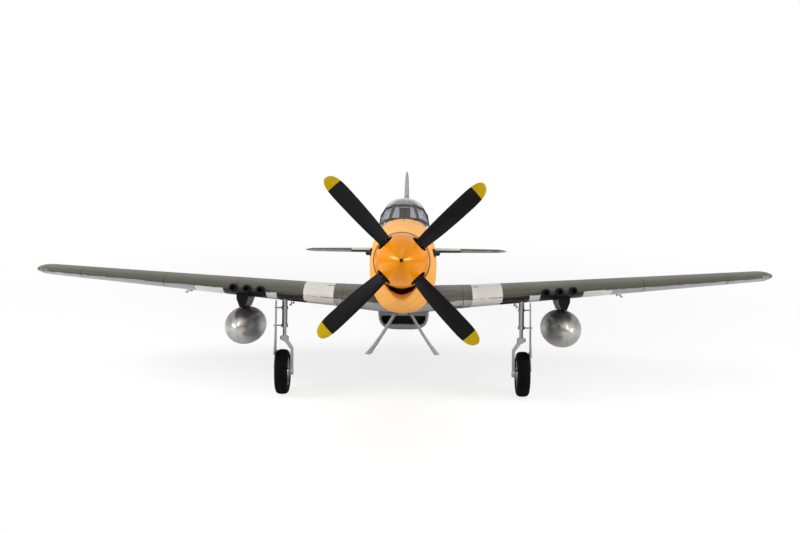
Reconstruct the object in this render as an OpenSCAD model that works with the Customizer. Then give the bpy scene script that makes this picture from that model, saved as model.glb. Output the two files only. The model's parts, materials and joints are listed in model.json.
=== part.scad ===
// Radio-controlled low-wing fighter with retracting landing gear, standing on its three wheels.
// Source frame: X along the span, Y aft from the spinner tip, Z above the thrust line, in mm.

/* [Overall] */
// Wing span from tip to tip
wing_span = 1500; // [1440:10:1560]
// Clearance around every moving surface
moving_gap = 0.6; // [0.4:0.05:1]
// Gap between a control surface's round nose and the wing lip around it
lip_gap = 1.2; // [1.1:0.1:1.6]

/* [Propeller] */
// Diameter over the blade tips
prop_diameter = 382; // [350:2:396]
// Widest chord of one blade
blade_chord = 31; // [27:0.5:34]
// Advance of the blade twist in one turn
blade_pitch = 190; // [140:5:230]
// Blade angle at rest, clockwise seen from the front
prop_rest_turn = 1.6; // [-10:0.2:10]
// Radius of the spinner at its base
spinner_radius = 47.5; // [46:0.25:48]
// Length of the spinner cone
spinner_length = 84; // [76:1:92]
// Wall of the spinner shell
spinner_wall = 1.6; // [1.2:0.1:2.4]

/* [Fuselage] */
// Wall of the nose cowl
cowl_wall = 2.6; // [2:0.1:3]
// Height of the parting plane under the removable hatch
hatch_level = 40; // [38:0.5:44]
// Length of the battery pack
battery_length = 148; // [120:1:150]

/* [Wing] */
// Chord on the centreline without the root extension
root_chord = 351; // [345:1:357]
// Chord at the tip
tip_chord = 169; // [155:1:180]
// Rise of the leading edge per mm of span
dihedral_rise = 0.081; // [0.075:0.001:0.086]
// Thickness over chord at the root
root_thickness = 0.15; // [0.147:0.001:0.155]
// Thickness over chord at the tip
tip_thickness = 0.12; // [0.1:0.002:0.13]

/* [Tail] */
// Span of the tailplane
tail_span = 534; // [480:2:580]
// Top of the fin above the thrust line
fin_top = 248; // [235:1:260]

/* [Landing gear] */
// Radius of a main wheel
wheel_radius = 45; // [43:0.25:45.5]
// Width of a main tyre
tyre_width = 26; // [23:0.5:27]
// Radius of the tail wheel
tail_wheel_radius = 18; // [16:0.25:20]
// Swing of a main leg from down to up
retract_angle = 85; // [84:0.25:86]

/* [Canopy] */
// Highest point of the bubble above the thrust line
canopy_top = 136; // [128:1:142]
// Wall of the clear mouldings
glass_wall = 1.4; // [1:0.1:2]

/* [Stores] */
// Radius of a drop tank
tank_radius = 38; // [33:0.5:40]
// Length of a drop tank
tank_length = 262; // [230:2:276]

/* [Fits] */
// Radial clearance of a turning shaft in its bore
running_fit = 0.08; // [0.05:0.01:0.1]
// Clearance between glued or bolted neighbours
seat_gap = 0.15; // [0.1:0.05:0.25]

/* [Hidden] */
$fn = 64;
eps = 0.01;

wheel_y = 410;
wheel_z = -223;
wheel_x = 240.2;
tail_wheel_y = 985;
tail_wheel_z = -128.4;
axle_run = tail_wheel_y - wheel_y;
axle_rise = tail_wheel_z - wheel_z;
axle_base = sqrt(axle_run * axle_run + axle_rise * axle_rise);
ground_angle = atan2(axle_rise, axle_run) + asin((wheel_radius - tail_wheel_radius) / axle_base);
ground_height = wheel_y * sin(ground_angle) - wheel_z * cos(ground_angle) + wheel_radius;

spinner_base = 84;
spinner_tip = spinner_base - spinner_length;
prop_plane = 62;
cowl_front = 88;
cowl_rear = 318;
plug_front = 205;
hatch_rear = 690;
rudder_hinge = 1222;
elevator_hinge = 1170;
stab_level = 33;
stab_half = tail_span / 2;
elevator_inner = 24;
wing_half = wing_span / 2;
root_front = 352;
tip_front = 397;
root_level = -82;
wing_incidence = 0.0175;
wing_camber = 0.015;
root_extension = 26;
extension_start = 62;
extension_end = 150;
tip_round = 38;
flap_start = 72;
flap_end = 343;
aileron_start = 353;
aileron_end = 605;
spar_y = 505;
spar_z = -72;
pivot_x = 238.5;
pivot_z = -62;
strut_x = 237;
inner_hinge_x = 15;
inner_hinge_z = -101;
inner_open = 64.5;
oleo_travel = 10;
tank_x = 320;
tank_y = 322;
tank_z = -132;
gun_x = [281, 308, 335];
gun_spigot = 6;
gun_depth = 22;
gun_shoulder = 12;
gun_reach = 6;
gun_fairing = 8.2;
gun_bore = 4.3;

function lerp(a, b, t) = a + (b - a) * t;
function unit(t) = max(0, min(1, t));
function smooth(t) = let (u = unit(t)) u * u * (3 - 2 * u);

// Smooth interpolation down one column of a table sorted by its first column
function row_of(t, y) = let (hits = [for (i = [0:len(t) - 2]) if (t[i][0] <= y) i])
  len(hits) == 0 ? 0 : hits[len(hits) - 1];
function slope(t, i, c) = let (a = max(i - 1, 0), b = min(i + 1, len(t) - 1))
  (t[b][c] - t[a][c]) / (t[b][0] - t[a][0]);
function table(t, y, c) = let (i = row_of(t, y), h = t[i + 1][0] - t[i][0],
    u = unit((y - t[i][0]) / h), v = u * u, w = v * u)
  (2 * w - 3 * v + 1) * t[i][c] + (w - 2 * v + u) * h * slope(t, i, c)
  + (3 * v - 2 * w) * t[i + 1][c] + (w - v) * h * slope(t, i + 1, c);

// Closed solid through rings of equal length
module loft(rings, flip = false) {
  n = len(rings[0]);
  m = len(rings);
  points = [for (r = rings) each r];
  sides = [for (j = [0:m - 2], i = [0:n - 1]) let (a = j * n + i, b = j * n + (i + 1) % n)
    each [[a, b, b + n], [a, b + n, a + n]]];
  strip = [for (i = [0:ceil(n / 2) - 2]) each (i + 1 == n - 2 - i
    ? [[i, i + 1, n - 1 - i]]
    : [[i, i + 1, n - 2 - i], [i, n - 2 - i, n - 1 - i]])];
  first = [for (f = strip) [f[2], f[1], f[0]]];
  last = [for (f = strip) [for (k = f) k + (m - 1) * n]];
  faces = concat(sides, first, last);
  polyhedron(points, flip ? [for (f = faces) [f[2], f[1], f[0]]] : faces);
}

// Closed pipe between an outer and an inner run of rings
module pipe(outer, inner) {
  n = len(outer[0]);
  m = len(outer);
  shift = n * m;
  points = concat([for (r = outer) each r], [for (r = inner) each r]);
  wall = [for (j = [0:m - 2], i = [0:n - 1]) let (a = j * n + i, b = j * n + (i + 1) % n)
    each [[a, b, b + n], [a, b + n, a + n],
      [shift + b, shift + a, shift + b + n], [shift + b + n, shift + a, shift + a + n]]];
  ends = [for (i = [0:n - 1]) let (b = (i + 1) % n, k = (m - 1) * n)
    each [[b, i, shift + i], [b, shift + i, shift + b],
      [k + i, k + b, shift + k + b], [k + i, shift + k + b, shift + k + i]]];
  polyhedron(points, concat(wall, ends));
}

// Round bar from one point to another
module bar(p, q, r, r_end = undef) {
  d = q - p;
  length = norm(d);
  turn = atan2(d[1], d[0]);
  tilt = acos(d[2] / length);
  translate(p) rotate([0, tilt, turn])
    cylinder(h = length, r1 = r, r2 = r_end == undef ? r : r_end);
}

module along_y(y0, y1, r, r_end = undef) {
  translate([0, y0, 0]) rotate([-90, 0, 0])
    cylinder(h = y1 - y0, r1 = r, r2 = r_end == undef ? r : r_end);
}

module along_x(x0, x1, r) {
  translate([x0, 0, 0]) rotate([0, 90, 0]) cylinder(h = x1 - x0, r = r);
}

module box(x0, x1, y0, y1, z0, z1) {
  translate([x0, y0, z0]) cube([x1 - x0, y1 - y0, z1 - z0]);
}

// Profile of [along, radius] pairs turned about the Y axis
module turned(profile) {
  rotate([-90, 0, 0]) rotate_extrude() polygon([for (p = profile) [p[1], p[0]]]);
}

module side(s) {
  if (s > 0) children();
  else mirror([1, 0, 0]) children();
}

// Fuselage: station, half width, top, bottom, widest level, upper and lower roundness, chin
body_rows = [
  [cowl_front, spinner_radius + 2, spinner_radius + 2, -68, 0, 2, 2, 17],
  [140, 54.5, 57, -80, -1, 2.05, 2.1, 12],
  [200, 58.5, 64, -89, -3, 2.15, 2.25, 6],
  [300, 63.5, 74, -98, -6, 2.25, 2.4, 0],
  [345, 65, 78.5, -100.5, -8, 2.3, 2.4, 0],
  [430, 66, 86, -96, -10, 2.4, 2.4, 0],
  [520, 66, 80, -93, -12, 2.6, 2.4, 0],
  [600, 64, 80, -93, -12, 2.6, 2.3, 0],
  [690, 60, 88, -92, -8, 2.3, 2.2, 0],
  [800, 53, 78, -88, -4, 2.1, 2.1, 0],
  [900, 44, 69, -75, 2, 2.05, 2.05, 0],
  [1000, 34, 62, -59, 8, 2, 2, 0],
  [1100, 24, 56, -39, 14, 2, 2, 0],
  [1200, 12, 50, -17, 18, 2, 2, 0],
  [1262, 5, 46, -6, 20, 2, 2, 0]];
body_sides = 32;

function signed_power(v, e) = sign(v) * pow(abs(v), e);
function chin_bump(c) = abs(c) > 0.7 ? 0 : pow(1 - pow(c / 0.7, 2), 2);
function body_point(y, angle, inset) = let (w = table(body_rows, y, 1) - inset,
    top = table(body_rows, y, 2) - inset, low = table(body_rows, y, 3) + inset,
    mid = table(body_rows, y, 4), chin = table(body_rows, y, 7), c = cos(angle),
    s = sin(angle), e = 2 / table(body_rows, y, s >= 0 ? 5 : 6))
  [w * signed_power(c, e), y, s >= 0 ? mid + (top - mid) * pow(s, e)
    : mid - (mid - low - chin) * pow(-s, e) - chin * chin_bump(c)];
function body_ring(y, inset = 0) =
  [for (i = [0:body_sides - 1]) body_point(y, 360 * i / body_sides, inset)];

module body_loft(stations, inset = 0) {
  loft([for (y = stations) body_ring(y, inset)]);
}

// Wing surface functions on the +X side
function basic_front(x) = root_front + (tip_front - root_front) * x / wing_half;
function basic_rear(x) = root_front + root_chord
  + (tip_front + tip_chord - root_front - root_chord) * x / wing_half;
function tip_factor(x) = x <= wing_half - tip_round ? 1
  : max(0.2, sqrt(max(0, 1 - pow((x - wing_half + tip_round) / tip_round, 2))));
function wing_front(x) = basic_front(x)
  - root_extension * (1 - smooth((x - extension_start) / (extension_end - extension_start)))
  + (1 - tip_factor(x)) * 0.45 * tip_chord;
function wing_rear(x) = basic_rear(x) - (1 - tip_factor(x)) * 0.2 * tip_chord;
function wing_level(x) = root_level + dihedral_rise * x;
function wing_ratio(x) = lerp(root_thickness, tip_thickness, x / wing_half) * pow(tip_factor(x), 0.7);
function half_thick(c) = 5 * (0.2969 * sqrt(c) - 0.126 * c - 0.3516 * c * c
  + 0.2843 * pow(c, 3) - 0.1015 * pow(c, 4));
function wing_mid(x, c) = let (l = wing_rear(x) - wing_front(x))
  wing_level(x) - wing_incidence * c * l + 4 * wing_camber * c * (1 - c) * l;
function wing_half_at(x, c) = wing_ratio(x) * half_thick(c) * (wing_rear(x) - wing_front(x));
function chord_part(x, y) = unit((y - wing_front(x)) / (wing_rear(x) - wing_front(x)));
function wing_lower(x, y) = let (c = chord_part(x, y)) wing_mid(x, c) - wing_half_at(x, c);
chord_count = 11;
chord_steps = [for (i = [0:chord_count]) (1 - cos(180 * i / chord_count)) / 2];
function wing_ring(x, grow) = let (l = wing_rear(x) - wing_front(x)) concat(
  [for (i = [chord_count:-1:0]) let (c = chord_steps[i]) [x, wing_front(x) + c * l
    + (i == 0 ? -grow : 0), wing_mid(x, c) + wing_half_at(x, c) + grow]],
  [for (i = [1:chord_count]) let (c = chord_steps[i]) [x, wing_front(x) + c * l,
    wing_mid(x, c) - wing_half_at(x, c) - grow]]);
wing_stations = [0, 40, 62, 84, 106, 128, 150, 260, 345, 475, 605, wing_half - tip_round,
  wing_half - 22, wing_half - 10, wing_half - 3, wing_half];

module wing_loft(from = 0, to = 9999, grow = 0) {
  loft([for (x = wing_stations) if (x >= from && x <= to) wing_ring(x, grow)], flip = true);
}

// Hinge line of flap and aileron, three quarters back along the chord
function hinge_y(x) = lerp(basic_front(x), basic_rear(x), 0.75);
function hinge_spot(x) = [x, hinge_y(x), wing_mid(x, chord_part(x, hinge_y(x)))];
hinge_a = hinge_spot(200);
hinge_b = hinge_spot(600);
hinge_way = (hinge_b - hinge_a) / norm(hinge_b - hinge_a);
function hinge_at(x) = hinge_a + (hinge_b - hinge_a) * (x - 200) / 400;
function nose_radius(x) = 1.06 * lerp(wing_half_at(200, 0.75), wing_half_at(600, 0.75), (x - 200) / 400);

// Frame with z along the hinge line, x pointing down and y aft
link_down = let (d = [0, 0, -1] + hinge_way * hinge_way[2]) d / norm(d);
link_aft = cross(hinge_way, link_down);
function link_frame(p) = [[link_down[0], link_aft[0], hinge_way[0], p[0]],
  [link_down[1], link_aft[1], hinge_way[1], p[1]],
  [link_down[2], link_aft[2], hinge_way[2], p[2]], [0, 0, 0, 1]];

// Region of a trailing surface, its ends square to the hinge line
module surface_zone(x0, x1, grow, nose_gap = 0) {
  width = norm(hinge_at(x1) - hinge_at(x0));
  intersection() {
    multmatrix(link_frame(hinge_at(x0))) translate([-150, -60, -grow]) cube([300, 260, width + 2 * grow]);
    union() {
      bar(hinge_at(x0 - 30), hinge_at(x1 + 30), nose_radius(x0 - 30) + nose_gap,
        nose_radius(x1 + 30) + nose_gap);
      translate([0, 0, -200]) linear_extrude(300) polygon([[x0 - 20, hinge_y(x0 - 20)],
        [x1 + 40, hinge_y(x1 + 40)], [x1 + 40, 800], [x0 - 20, 800]]);
    }
  }
}

// Hinge pin of a trailing surface, reaching into the wing at both ends
module surface_pin(x0, x1, reach, r) {
  bar(hinge_at(x0) - hinge_way * reach, hinge_at(x1) + hinge_way * reach, r);
}

// Patch of the lower wing skin: x range, front and rear lines, lower and upper offset
module skin_patch(x0, x1, front, rear, low, high) {
  nx = 4;
  ny = 4;
  function spot(i, j) = let (u = i / nx, x = lerp(x0, x1, u),
    y = lerp(lerp(front[0], front[1], u), lerp(rear[0], rear[1], u), j / ny)) [x, y];
  rings = [for (i = [0:nx]) concat(
    [for (j = [0:ny]) let (p = spot(i, j)) [p[0], p[1], wing_lower(p[0], p[1]) + low]],
    [for (j = [ny:-1:0]) let (p = spot(i, j)) [p[0], p[1], wing_lower(p[0], p[1]) + high]])];
  loft(rings, flip = true);
}

// Turns the +X leg about its pivot, positive toward the fuselage
module swing_leg(angle) {
  translate([pivot_x, 0, pivot_z]) rotate([0, angle, 0]) translate([-pivot_x, 0, -pivot_z])
    children();
}

hinge_pin = 1.2;
pin_reach = 4;
door_near = 221;
door_far = 114.6;
tongue_far = 86;
tongue_y = [404, 446];
tongue_join = 6;
door_front = [376, 387];
door_rear = [451, 433];
inner_near = 17;
inner_far = 113;
inner_front = 361;
inner_rear = 457;
well_radius = wheel_radius + 3.5;
groove_radius = 6.6;
door_rod = 1.5;
lug_y = [376, 436];
lug_width = 6;
lug_radius = 4.4;
knuckle_y = [364, 404, 446];
knuckle_width = 9;

module strut_patch(grow, low, high) {
  skin_patch(door_far - grow, door_near + grow, [door_front[0] - grow, door_front[1] - grow],
    [door_rear[0] + grow, door_rear[1] + grow], low, high);
}

module inner_patch(grow, low, high) {
  skin_patch(inner_near - grow, inner_far + grow, [inner_front - grow, inner_front - grow],
    [inner_rear + grow, inner_rear + grow], low, high);
}

// Bearing lugs of the inner door, left standing in its groove
module door_lugs() {
  for (y = lug_y) {
    translate([inner_hinge_x, 0, inner_hinge_z]) along_y(y, y + lug_width, lug_radius);
    box(inner_hinge_x - lug_radius, inner_hinge_x + lug_radius, y, y + lug_width, inner_hinge_z, -90);
  }
}

// Wheel well, leg bay and door recesses
module gear_cut() {
  difference() {
    union() {
      swing_leg(retract_angle) {
        for (lift = [0, oleo_travel]) translate([0, wheel_y, wheel_z + lift])
          along_x(wheel_x - tyre_width / 2 - 2.5, wheel_x + 50, well_radius);
        box(wheel_x - tyre_width / 2 - 2.5, wheel_x + 50, wheel_y - well_radius, wheel_y + well_radius,
          wheel_z, wheel_z + oleo_travel);
        box(217, wheel_x + 50, wheel_y - 10, wheel_y + 10, -240, -150);
        box(227, wheel_x + 50, wheel_y - 12, wheel_y + 12, -170, -70);
      }
      box(222, 268, wheel_y - 18, wheel_y + 18, -130, -49);
      strut_patch(0.9, -12, 5);
      inner_patch(0.9, -14, 5);
      translate([inner_hinge_x, 0, inner_hinge_z])
        along_y(inner_front - 0.9, inner_rear + 0.9, groove_radius);
    }
    door_lugs();
  }
  translate([inner_hinge_x, 0, inner_hinge_z])
    along_y(inner_front + 0.5, inner_rear - 0.5, door_rod + running_fit);
}

aileron_link_x = 452;
flap_link_x = 236;
aileron_drop = 11;
flap_drop = 16;
link_length = 50;

function servo_spot(x) = hinge_at(x) + [0, -link_length, -3];

module servo_pocket(x, fore) {
  p = servo_spot(x);
  box(x - 5, x + 17, p[1] - fore, p[1] + 13, p[2] - 60, p[2] + 7);
}

module servo_body(x) {
  p = servo_spot(x);
  difference() {
    union() {
      box(x + 3.4, x + 16.6, p[1] - 12, p[1] + 12, wing_lower(x, p[1]) + 1.5, p[2] + 6.6);
      bar(p - hinge_way * 1.4, p + hinge_way * 5, 2);
    }
    box(x + 3.4, x + 16.6, p[1] - 12, p[1] + 12, wing_lower(x, p[1]) - 90, wing_lower(x, p[1]) + 1.5);
  }
}

// Flat arm with a boss at both ends, turned about the hinge direction
module link_plate(p, v, from, to, r0, r1, hole0, hole1) {
  length = norm(v);
  multmatrix(link_frame(p)) difference() {
    union() {
      translate([0, 0, from]) cylinder(h = to - from, r = r0);
      translate([length, 0, from]) cylinder(h = to - from, r = r1);
      translate([0, -r1, from]) cube([length, 2 * r1, to - from]);
    }
    translate([0, 0, from - 1]) cylinder(h = to - from + 2, r = hole0);
    translate([length, 0, from - 1]) cylinder(h = to - from + 2, r = hole1);
  }
}

function link_drop(x, drop) = link_down * (nose_radius(x) + drop);

module servo_arm(x, drop) {
  color("white") link_plate(servo_spot(x), link_drop(x, drop), -1, 1, 3.6, 2, 2 + running_fit,
    0.9 + running_fit);
}

module push_rod(x, drop) {
  a = servo_spot(x) + link_drop(x, drop);
  b = hinge_at(x) + link_drop(x, drop);
  out = hinge_way * 3;
  color("silver") {
    for (p = [a, b]) bar(p - hinge_way * 1.6, p + hinge_way * 4.2, 0.9);
    bar(a + out, b + out, 1.1);
  }
}

module horn(x, drop) {
  r = nose_radius(x);
  multmatrix(link_frame(hinge_at(x))) translate([0, 0, -1]) difference() {
    linear_extrude(2) polygon([[r * 0.5, -1], [r + drop - 1, -2.4], [r + drop + 2.6, -1.2],
      [r + drop + 2.6, 1.2], [r + drop - 1, 2.4], [r * 0.5, 14]]);
    translate([r + drop, 0, -1]) cylinder(h = 4, r = 1.5);
  }
}

// Slit of the wing's rear lip that lets the horn swing forward
module horn_slit(x, reach) {
  multmatrix(link_frame(hinge_at(x))) translate([nose_radius(x) * 0.4, -reach, -1.7]) cube([40, reach, 3.4]);
}

module wing_panel() {
  difference() {
    wing_loft();
    surface_zone(flap_start, flap_end, moving_gap, lip_gap);
    surface_pin(flap_start, flap_end, pin_reach + 0.6, hinge_pin + running_fit);
    surface_zone(aileron_start, aileron_end, moving_gap, lip_gap);
    surface_pin(aileron_start, aileron_end, pin_reach + 0.6, hinge_pin + running_fit);
    gear_cut();
    translate([0, spar_y, spar_z]) along_x(-1, 205, 6.1);
    for (x = gun_x) translate([x, wing_front(x), wing_level(x)]) gun_tube(seat_gap);
    horn_slit(flap_link_x, 19);
    horn_slit(aileron_link_x, 13);
    servo_pocket(aileron_link_x, 13);
    servo_pocket(flap_link_x, 22);
  }
}

module left_wing() {
  color("darkolivegreen") side(1) wing_panel();
}

module right_wing() {
  color("darkolivegreen") side(-1) wing_panel();
}

module aileron_part() {
  color("silver") {
    intersection() {
      wing_loft(345, wing_half - tip_round);
      surface_zone(aileron_start, aileron_end, 0);
    }
    surface_pin(aileron_start, aileron_end, pin_reach, hinge_pin);
    horn(aileron_link_x, aileron_drop);
  }
}

module flap_part() {
  color("silver") {
    intersection() {
      wing_loft(62, 475);
      surface_zone(flap_start, flap_end, 0);
    }
    surface_pin(flap_start, flap_end, pin_reach, hinge_pin);
    horn(flap_link_x, flap_drop);
  }
}

module left_aileron() {
  side(1) aileron_part();
}

module right_aileron() {
  side(-1) aileron_part();
}

module left_flap() {
  side(1) flap_part();
}

module right_flap() {
  side(-1) flap_part();
}

module left_aileron_arm() {
  side(1) servo_arm(aileron_link_x, aileron_drop);
}

module right_aileron_arm() {
  side(-1) servo_arm(aileron_link_x, aileron_drop);
}

module left_aileron_rod() {
  side(1) push_rod(aileron_link_x, aileron_drop);
}

module right_aileron_rod() {
  side(-1) push_rod(aileron_link_x, aileron_drop);
}

module left_flap_arm() {
  side(1) servo_arm(flap_link_x, flap_drop);
}

module right_flap_arm() {
  side(-1) servo_arm(flap_link_x, flap_drop);
}

module left_flap_rod() {
  side(1) push_rod(flap_link_x, flap_drop);
}

module right_flap_rod() {
  side(-1) push_rod(flap_link_x, flap_drop);
}

module wing_spar() {
  color("dimgray") difference() {
    translate([0, spar_y, spar_z]) along_x(-200, 200, 6);
    translate([0, spar_y, spar_z]) along_x(-201, 201, 4.5);
  }
}

// Blast tube: a raised fairing round the muzzle and a spigot behind it, both let into the leading edge
module gun_tube(grow) {
  along_y(-gun_reach - grow, gun_shoulder + grow, gun_fairing + grow);
  along_y(gun_shoulder, gun_depth + grow, gun_spigot + grow);
}

module gun_barrels() {
  color("dimgray") for (s = [-1, 1], x = gun_x) side(s) translate([x, wing_front(x), wing_level(x)])
    difference() {
      gun_tube(0);
      along_y(-gun_reach - 1, gun_shoulder, gun_bore);
    }
}

module tank_pylons() {
  color("dimgray") for (s = [-1, 1]) side(s) difference() {
    translate([0, 486, 0]) rotate([90, 0, 0]) linear_extrude(96) polygon([[tank_x - 12, -60],
      [tank_x + 12, -60], [tank_x + 11.5, -78], [tank_x + 4.5, -96], [tank_x - 4.5, -96],
      [tank_x - 11.5, -78]]);
    wing_loft(260, 475, grow = seat_gap);
    translate([tank_x, 0, tank_z]) along_y(tank_y, tank_y + tank_length, tank_radius + seat_gap);
  }
}

function tank_profile(t) = let (reach = t < 0.47 ? 0.94 : 1.06)
  tank_radius * pow(max(0, 1 - pow(abs(2 * t - 0.94) / reach, 2.3)), 0.62);

module drop_tank() {
  color("silver") translate([tank_x, tank_y, tank_z]) turned(concat([[0, 0]],
    [for (i = [1:17]) let (t = (1 - cos(180 * i / 18)) / 2) [t * tank_length, tank_profile(t)]],
    [[tank_length, 0]]));
}

module left_drop_tank() {
  side(1) drop_tank();
}

module right_drop_tank() {
  side(-1) drop_tank();
}

module retract_units() {
  color("gray") for (s = [-1, 1]) side(s) difference() {
    union() {
      box(225, 266, wheel_y - 17.5, wheel_y - 13, -76, -49.3);
      box(225, 266, wheel_y + 13, wheel_y + 17.5, -76, -49.3);
      box(225, 266, wheel_y - 17.5, wheel_y + 17.5, -53, -49.3);
      box(250, 266, wheel_y - 17.5, wheel_y + 17.5, -70, -49.3);
    }
    translate([pivot_x, 0, pivot_z]) along_y(wheel_y - 20, wheel_y + 20, 3 + running_fit);
  }
}

module gear_leg() {
  color("silver") difference() {
    union() {
      translate([pivot_x, 0, pivot_z]) along_y(wheel_y - 17.4, wheel_y + 17.4, 3);
      translate([pivot_x, 0, pivot_z]) along_y(wheel_y - 12.4, wheel_y + 12.4, 7);
      translate([strut_x, wheel_y, -134]) cylinder(h = 72, r = 5.4);
      translate([strut_x, wheel_y, -134]) cylinder(h = 7, r = 6.8);
      translate([strut_x, wheel_y, -98]) cylinder(h = 6, r = 6.6);
    }
    translate([strut_x, wheel_y, -135]) cylinder(h = 62, r = 3.7 + running_fit);
  }
}

module left_gear_leg() {
  side(1) gear_leg();
}

module right_gear_leg() {
  side(-1) gear_leg();
}

// Strut door built closed against the wing skin, then lowered with the leg
module strut_door() {
  color("silver") {
    swing_leg(-retract_angle) {
      strut_patch(0, 0, 2);
      skin_patch(tongue_far, door_far + tongue_join, [tongue_y[0], tongue_y[0]],
        [tongue_y[1], tongue_y[1]], 2.6, 4.2);
      skin_patch(door_far, door_far + tongue_join, [tongue_y[0], tongue_y[0]],
        [tongue_y[1], tongue_y[1]], 0.6, 4);
    }
    difference() {
      bar([strut_x + 6.4, wheel_y, -130.5], [259.5, wheel_y, -130.5], 1.3);
      translate([strut_x, wheel_y, -140]) cylinder(h = 20, r = 6.8 + eps);
    }
    difference() {
      bar([strut_x + 6.2, wheel_y, -95], [257, wheel_y, -95], 1.3);
      translate([strut_x, wheel_y, -100]) cylinder(h = 10, r = 6.6 + eps);
    }
  }
}

module left_strut_door() {
  side(1) strut_door();
}

module right_strut_door() {
  side(-1) strut_door();
}

axle_radius = 3;

module oleo_fork() {
  color("lightgray") {
    translate([strut_x, wheel_y, -160]) cylinder(h = 66, r = 3.7);
    translate([0, wheel_y + 4.5, 0]) rotate([90, 0, 0]) linear_extrude(9) polygon([[231, -150],
      [243, -150], [243, -160], [236, -163], [224.7, -178], [224.7, -229], [219.3, -229],
      [219.3, -175], [231, -157]]);
    translate([0, wheel_y, wheel_z]) along_x(220, wheel_x + 12, axle_radius);
    translate([0, wheel_y, wheel_z]) along_x(219, 225.6, 6.5);
    translate([0, wheel_y, -155]) along_x(228.5, 246, 3.6);
  }
}

module left_oleo_fork() {
  side(1) oleo_fork();
}

module right_oleo_fork() {
  side(-1) oleo_fork();
}

rim_radius = wheel_radius - 17;
hub_boss = 12;

module tyre() {
  w = tyre_width / 2;
  color("dimgray") translate([wheel_x, wheel_y, wheel_z]) rotate([0, 0, 90]) turned(concat(
    [[-w * 0.72, rim_radius], [w * 0.72, rim_radius]],
    [for (i = [0:16]) let (a = 180 * i / 16 - 90) [-signed_power(sin(a), 0.8) * w,
      wheel_radius - 13 + 13 * pow(cos(a), 0.55)]]));
}

module left_tyre() {
  side(1) tyre();
}

module right_tyre() {
  side(-1) tyre();
}

module wheel_hub() {
  w = tyre_width / 2;
  r = rim_radius - 0.05;
  color("lightgray") translate([wheel_x, wheel_y, wheel_z]) difference() {
    rotate([0, 0, 90]) turned([[-w * 0.72, axle_radius + running_fit],
      [-w * 0.98, axle_radius + running_fit],
      [-w * 0.98, hub_boss - 3], [-w * 0.6, hub_boss], [-w * 0.6, r - 5], [-w * 0.85, r - 2.5],
      [-w * 0.85, r], [w * 0.85, r], [w * 0.85, r - 2.5], [w * 0.6, r - 5], [w * 0.6, hub_boss],
      [w * 0.98, hub_boss - 3],
      [w * 0.98, axle_radius + running_fit]]);
    for (a = [0:60:300]) rotate([a, 0, 0]) translate([0, (hub_boss + r - 5) / 2, 0])
      along_x(-w, w, (r - 5 - hub_boss) * 0.27);
  }
}

module left_wheel_hub() {
  side(1) wheel_hub();
}

module right_wheel_hub() {
  side(-1) wheel_hub();
}

// Inner door built closed, then opened about its hinge rod
module inner_door() {
  color("silver") translate([inner_hinge_x, 0, inner_hinge_z]) rotate([0, inner_open, 0])
    translate([-inner_hinge_x, 0, -inner_hinge_z]) {
      difference() {
        inner_patch(0, 0, 1.8);
        for (y = lug_y) box(0, inner_hinge_x + lug_radius + 1.2, y - 0.8, y + lug_width + 0.8, -130, -90);
      }
      translate([inner_hinge_x, 0, inner_hinge_z]) along_y(inner_front + 1, inner_rear - 1, door_rod);
      for (y = knuckle_y) box(inner_hinge_x - 1, inner_near + 4, y, y + knuckle_width,
        wing_lower(20, y + knuckle_width / 2) + 1, inner_hinge_z + 1);
    }
}

module left_inner_door() {
  side(1) inner_door();
}

module right_inner_door() {
  side(-1) inner_door();
}

module servos() {
  color("royalblue") {
    for (s = [-1, 1]) side(s) {
      servo_body(aileron_link_x);
      servo_body(flap_link_x);
    }
    for (s = [-1, 1]) side(s) {
      box(6, 18.5, 640, 664, 6, 30);
      translate([12.2, 648, 30]) cylinder(h = 5, r = 2.4);
    }
  }
}

// Removable deck region of the fuselage
module hatch_zone(grow) {
  box(-100, 100, cowl_rear + 0.5 - grow, hatch_rear + grow, hatch_level + 0.5 - grow, 200);
}

body_stations = [cowl_rear, 345, 388, 430, 475, 520, 575, 630, 690, 745, 800, 850, 900, 950,
  1000, 1050, 1100, 1150, 1200, 1235];

// Electronics bays one behind the other: width, length and height of what each holds
battery_size = [46, battery_length, 33.7];
battery_front = 328;
battery_floor = 2.3;
controller_size = [29, 56, 15.7];
controller_front = battery_front + battery_length + 15;
controller_floor = 14.3;
receiver_size = [27, 46, 13.7];
receiver_front = controller_front + controller_size[1] + 10;
receiver_floor = 20.3;
bay_top = 60;

module packed(size, front, floor) {
  translate([-size[0] / 2, front, floor]) cube(size);
}

module bay(size, front, floor, side_gap, end_gap) {
  box(-size[0] / 2 - side_gap, size[0] / 2 + side_gap, front - end_gap, front + size[1] + end_gap,
    floor - 0.3, bay_top);
}

module exhaust_block(grow, reach = 3) {
  translate([54.2, 176, 15]) rotate([0, 0, -3]) translate([-7 - grow, -grow, -7 - grow])
    cube([7 + grow + reach, 90 + 2 * grow, 14 + 2 * grow]);
}

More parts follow.
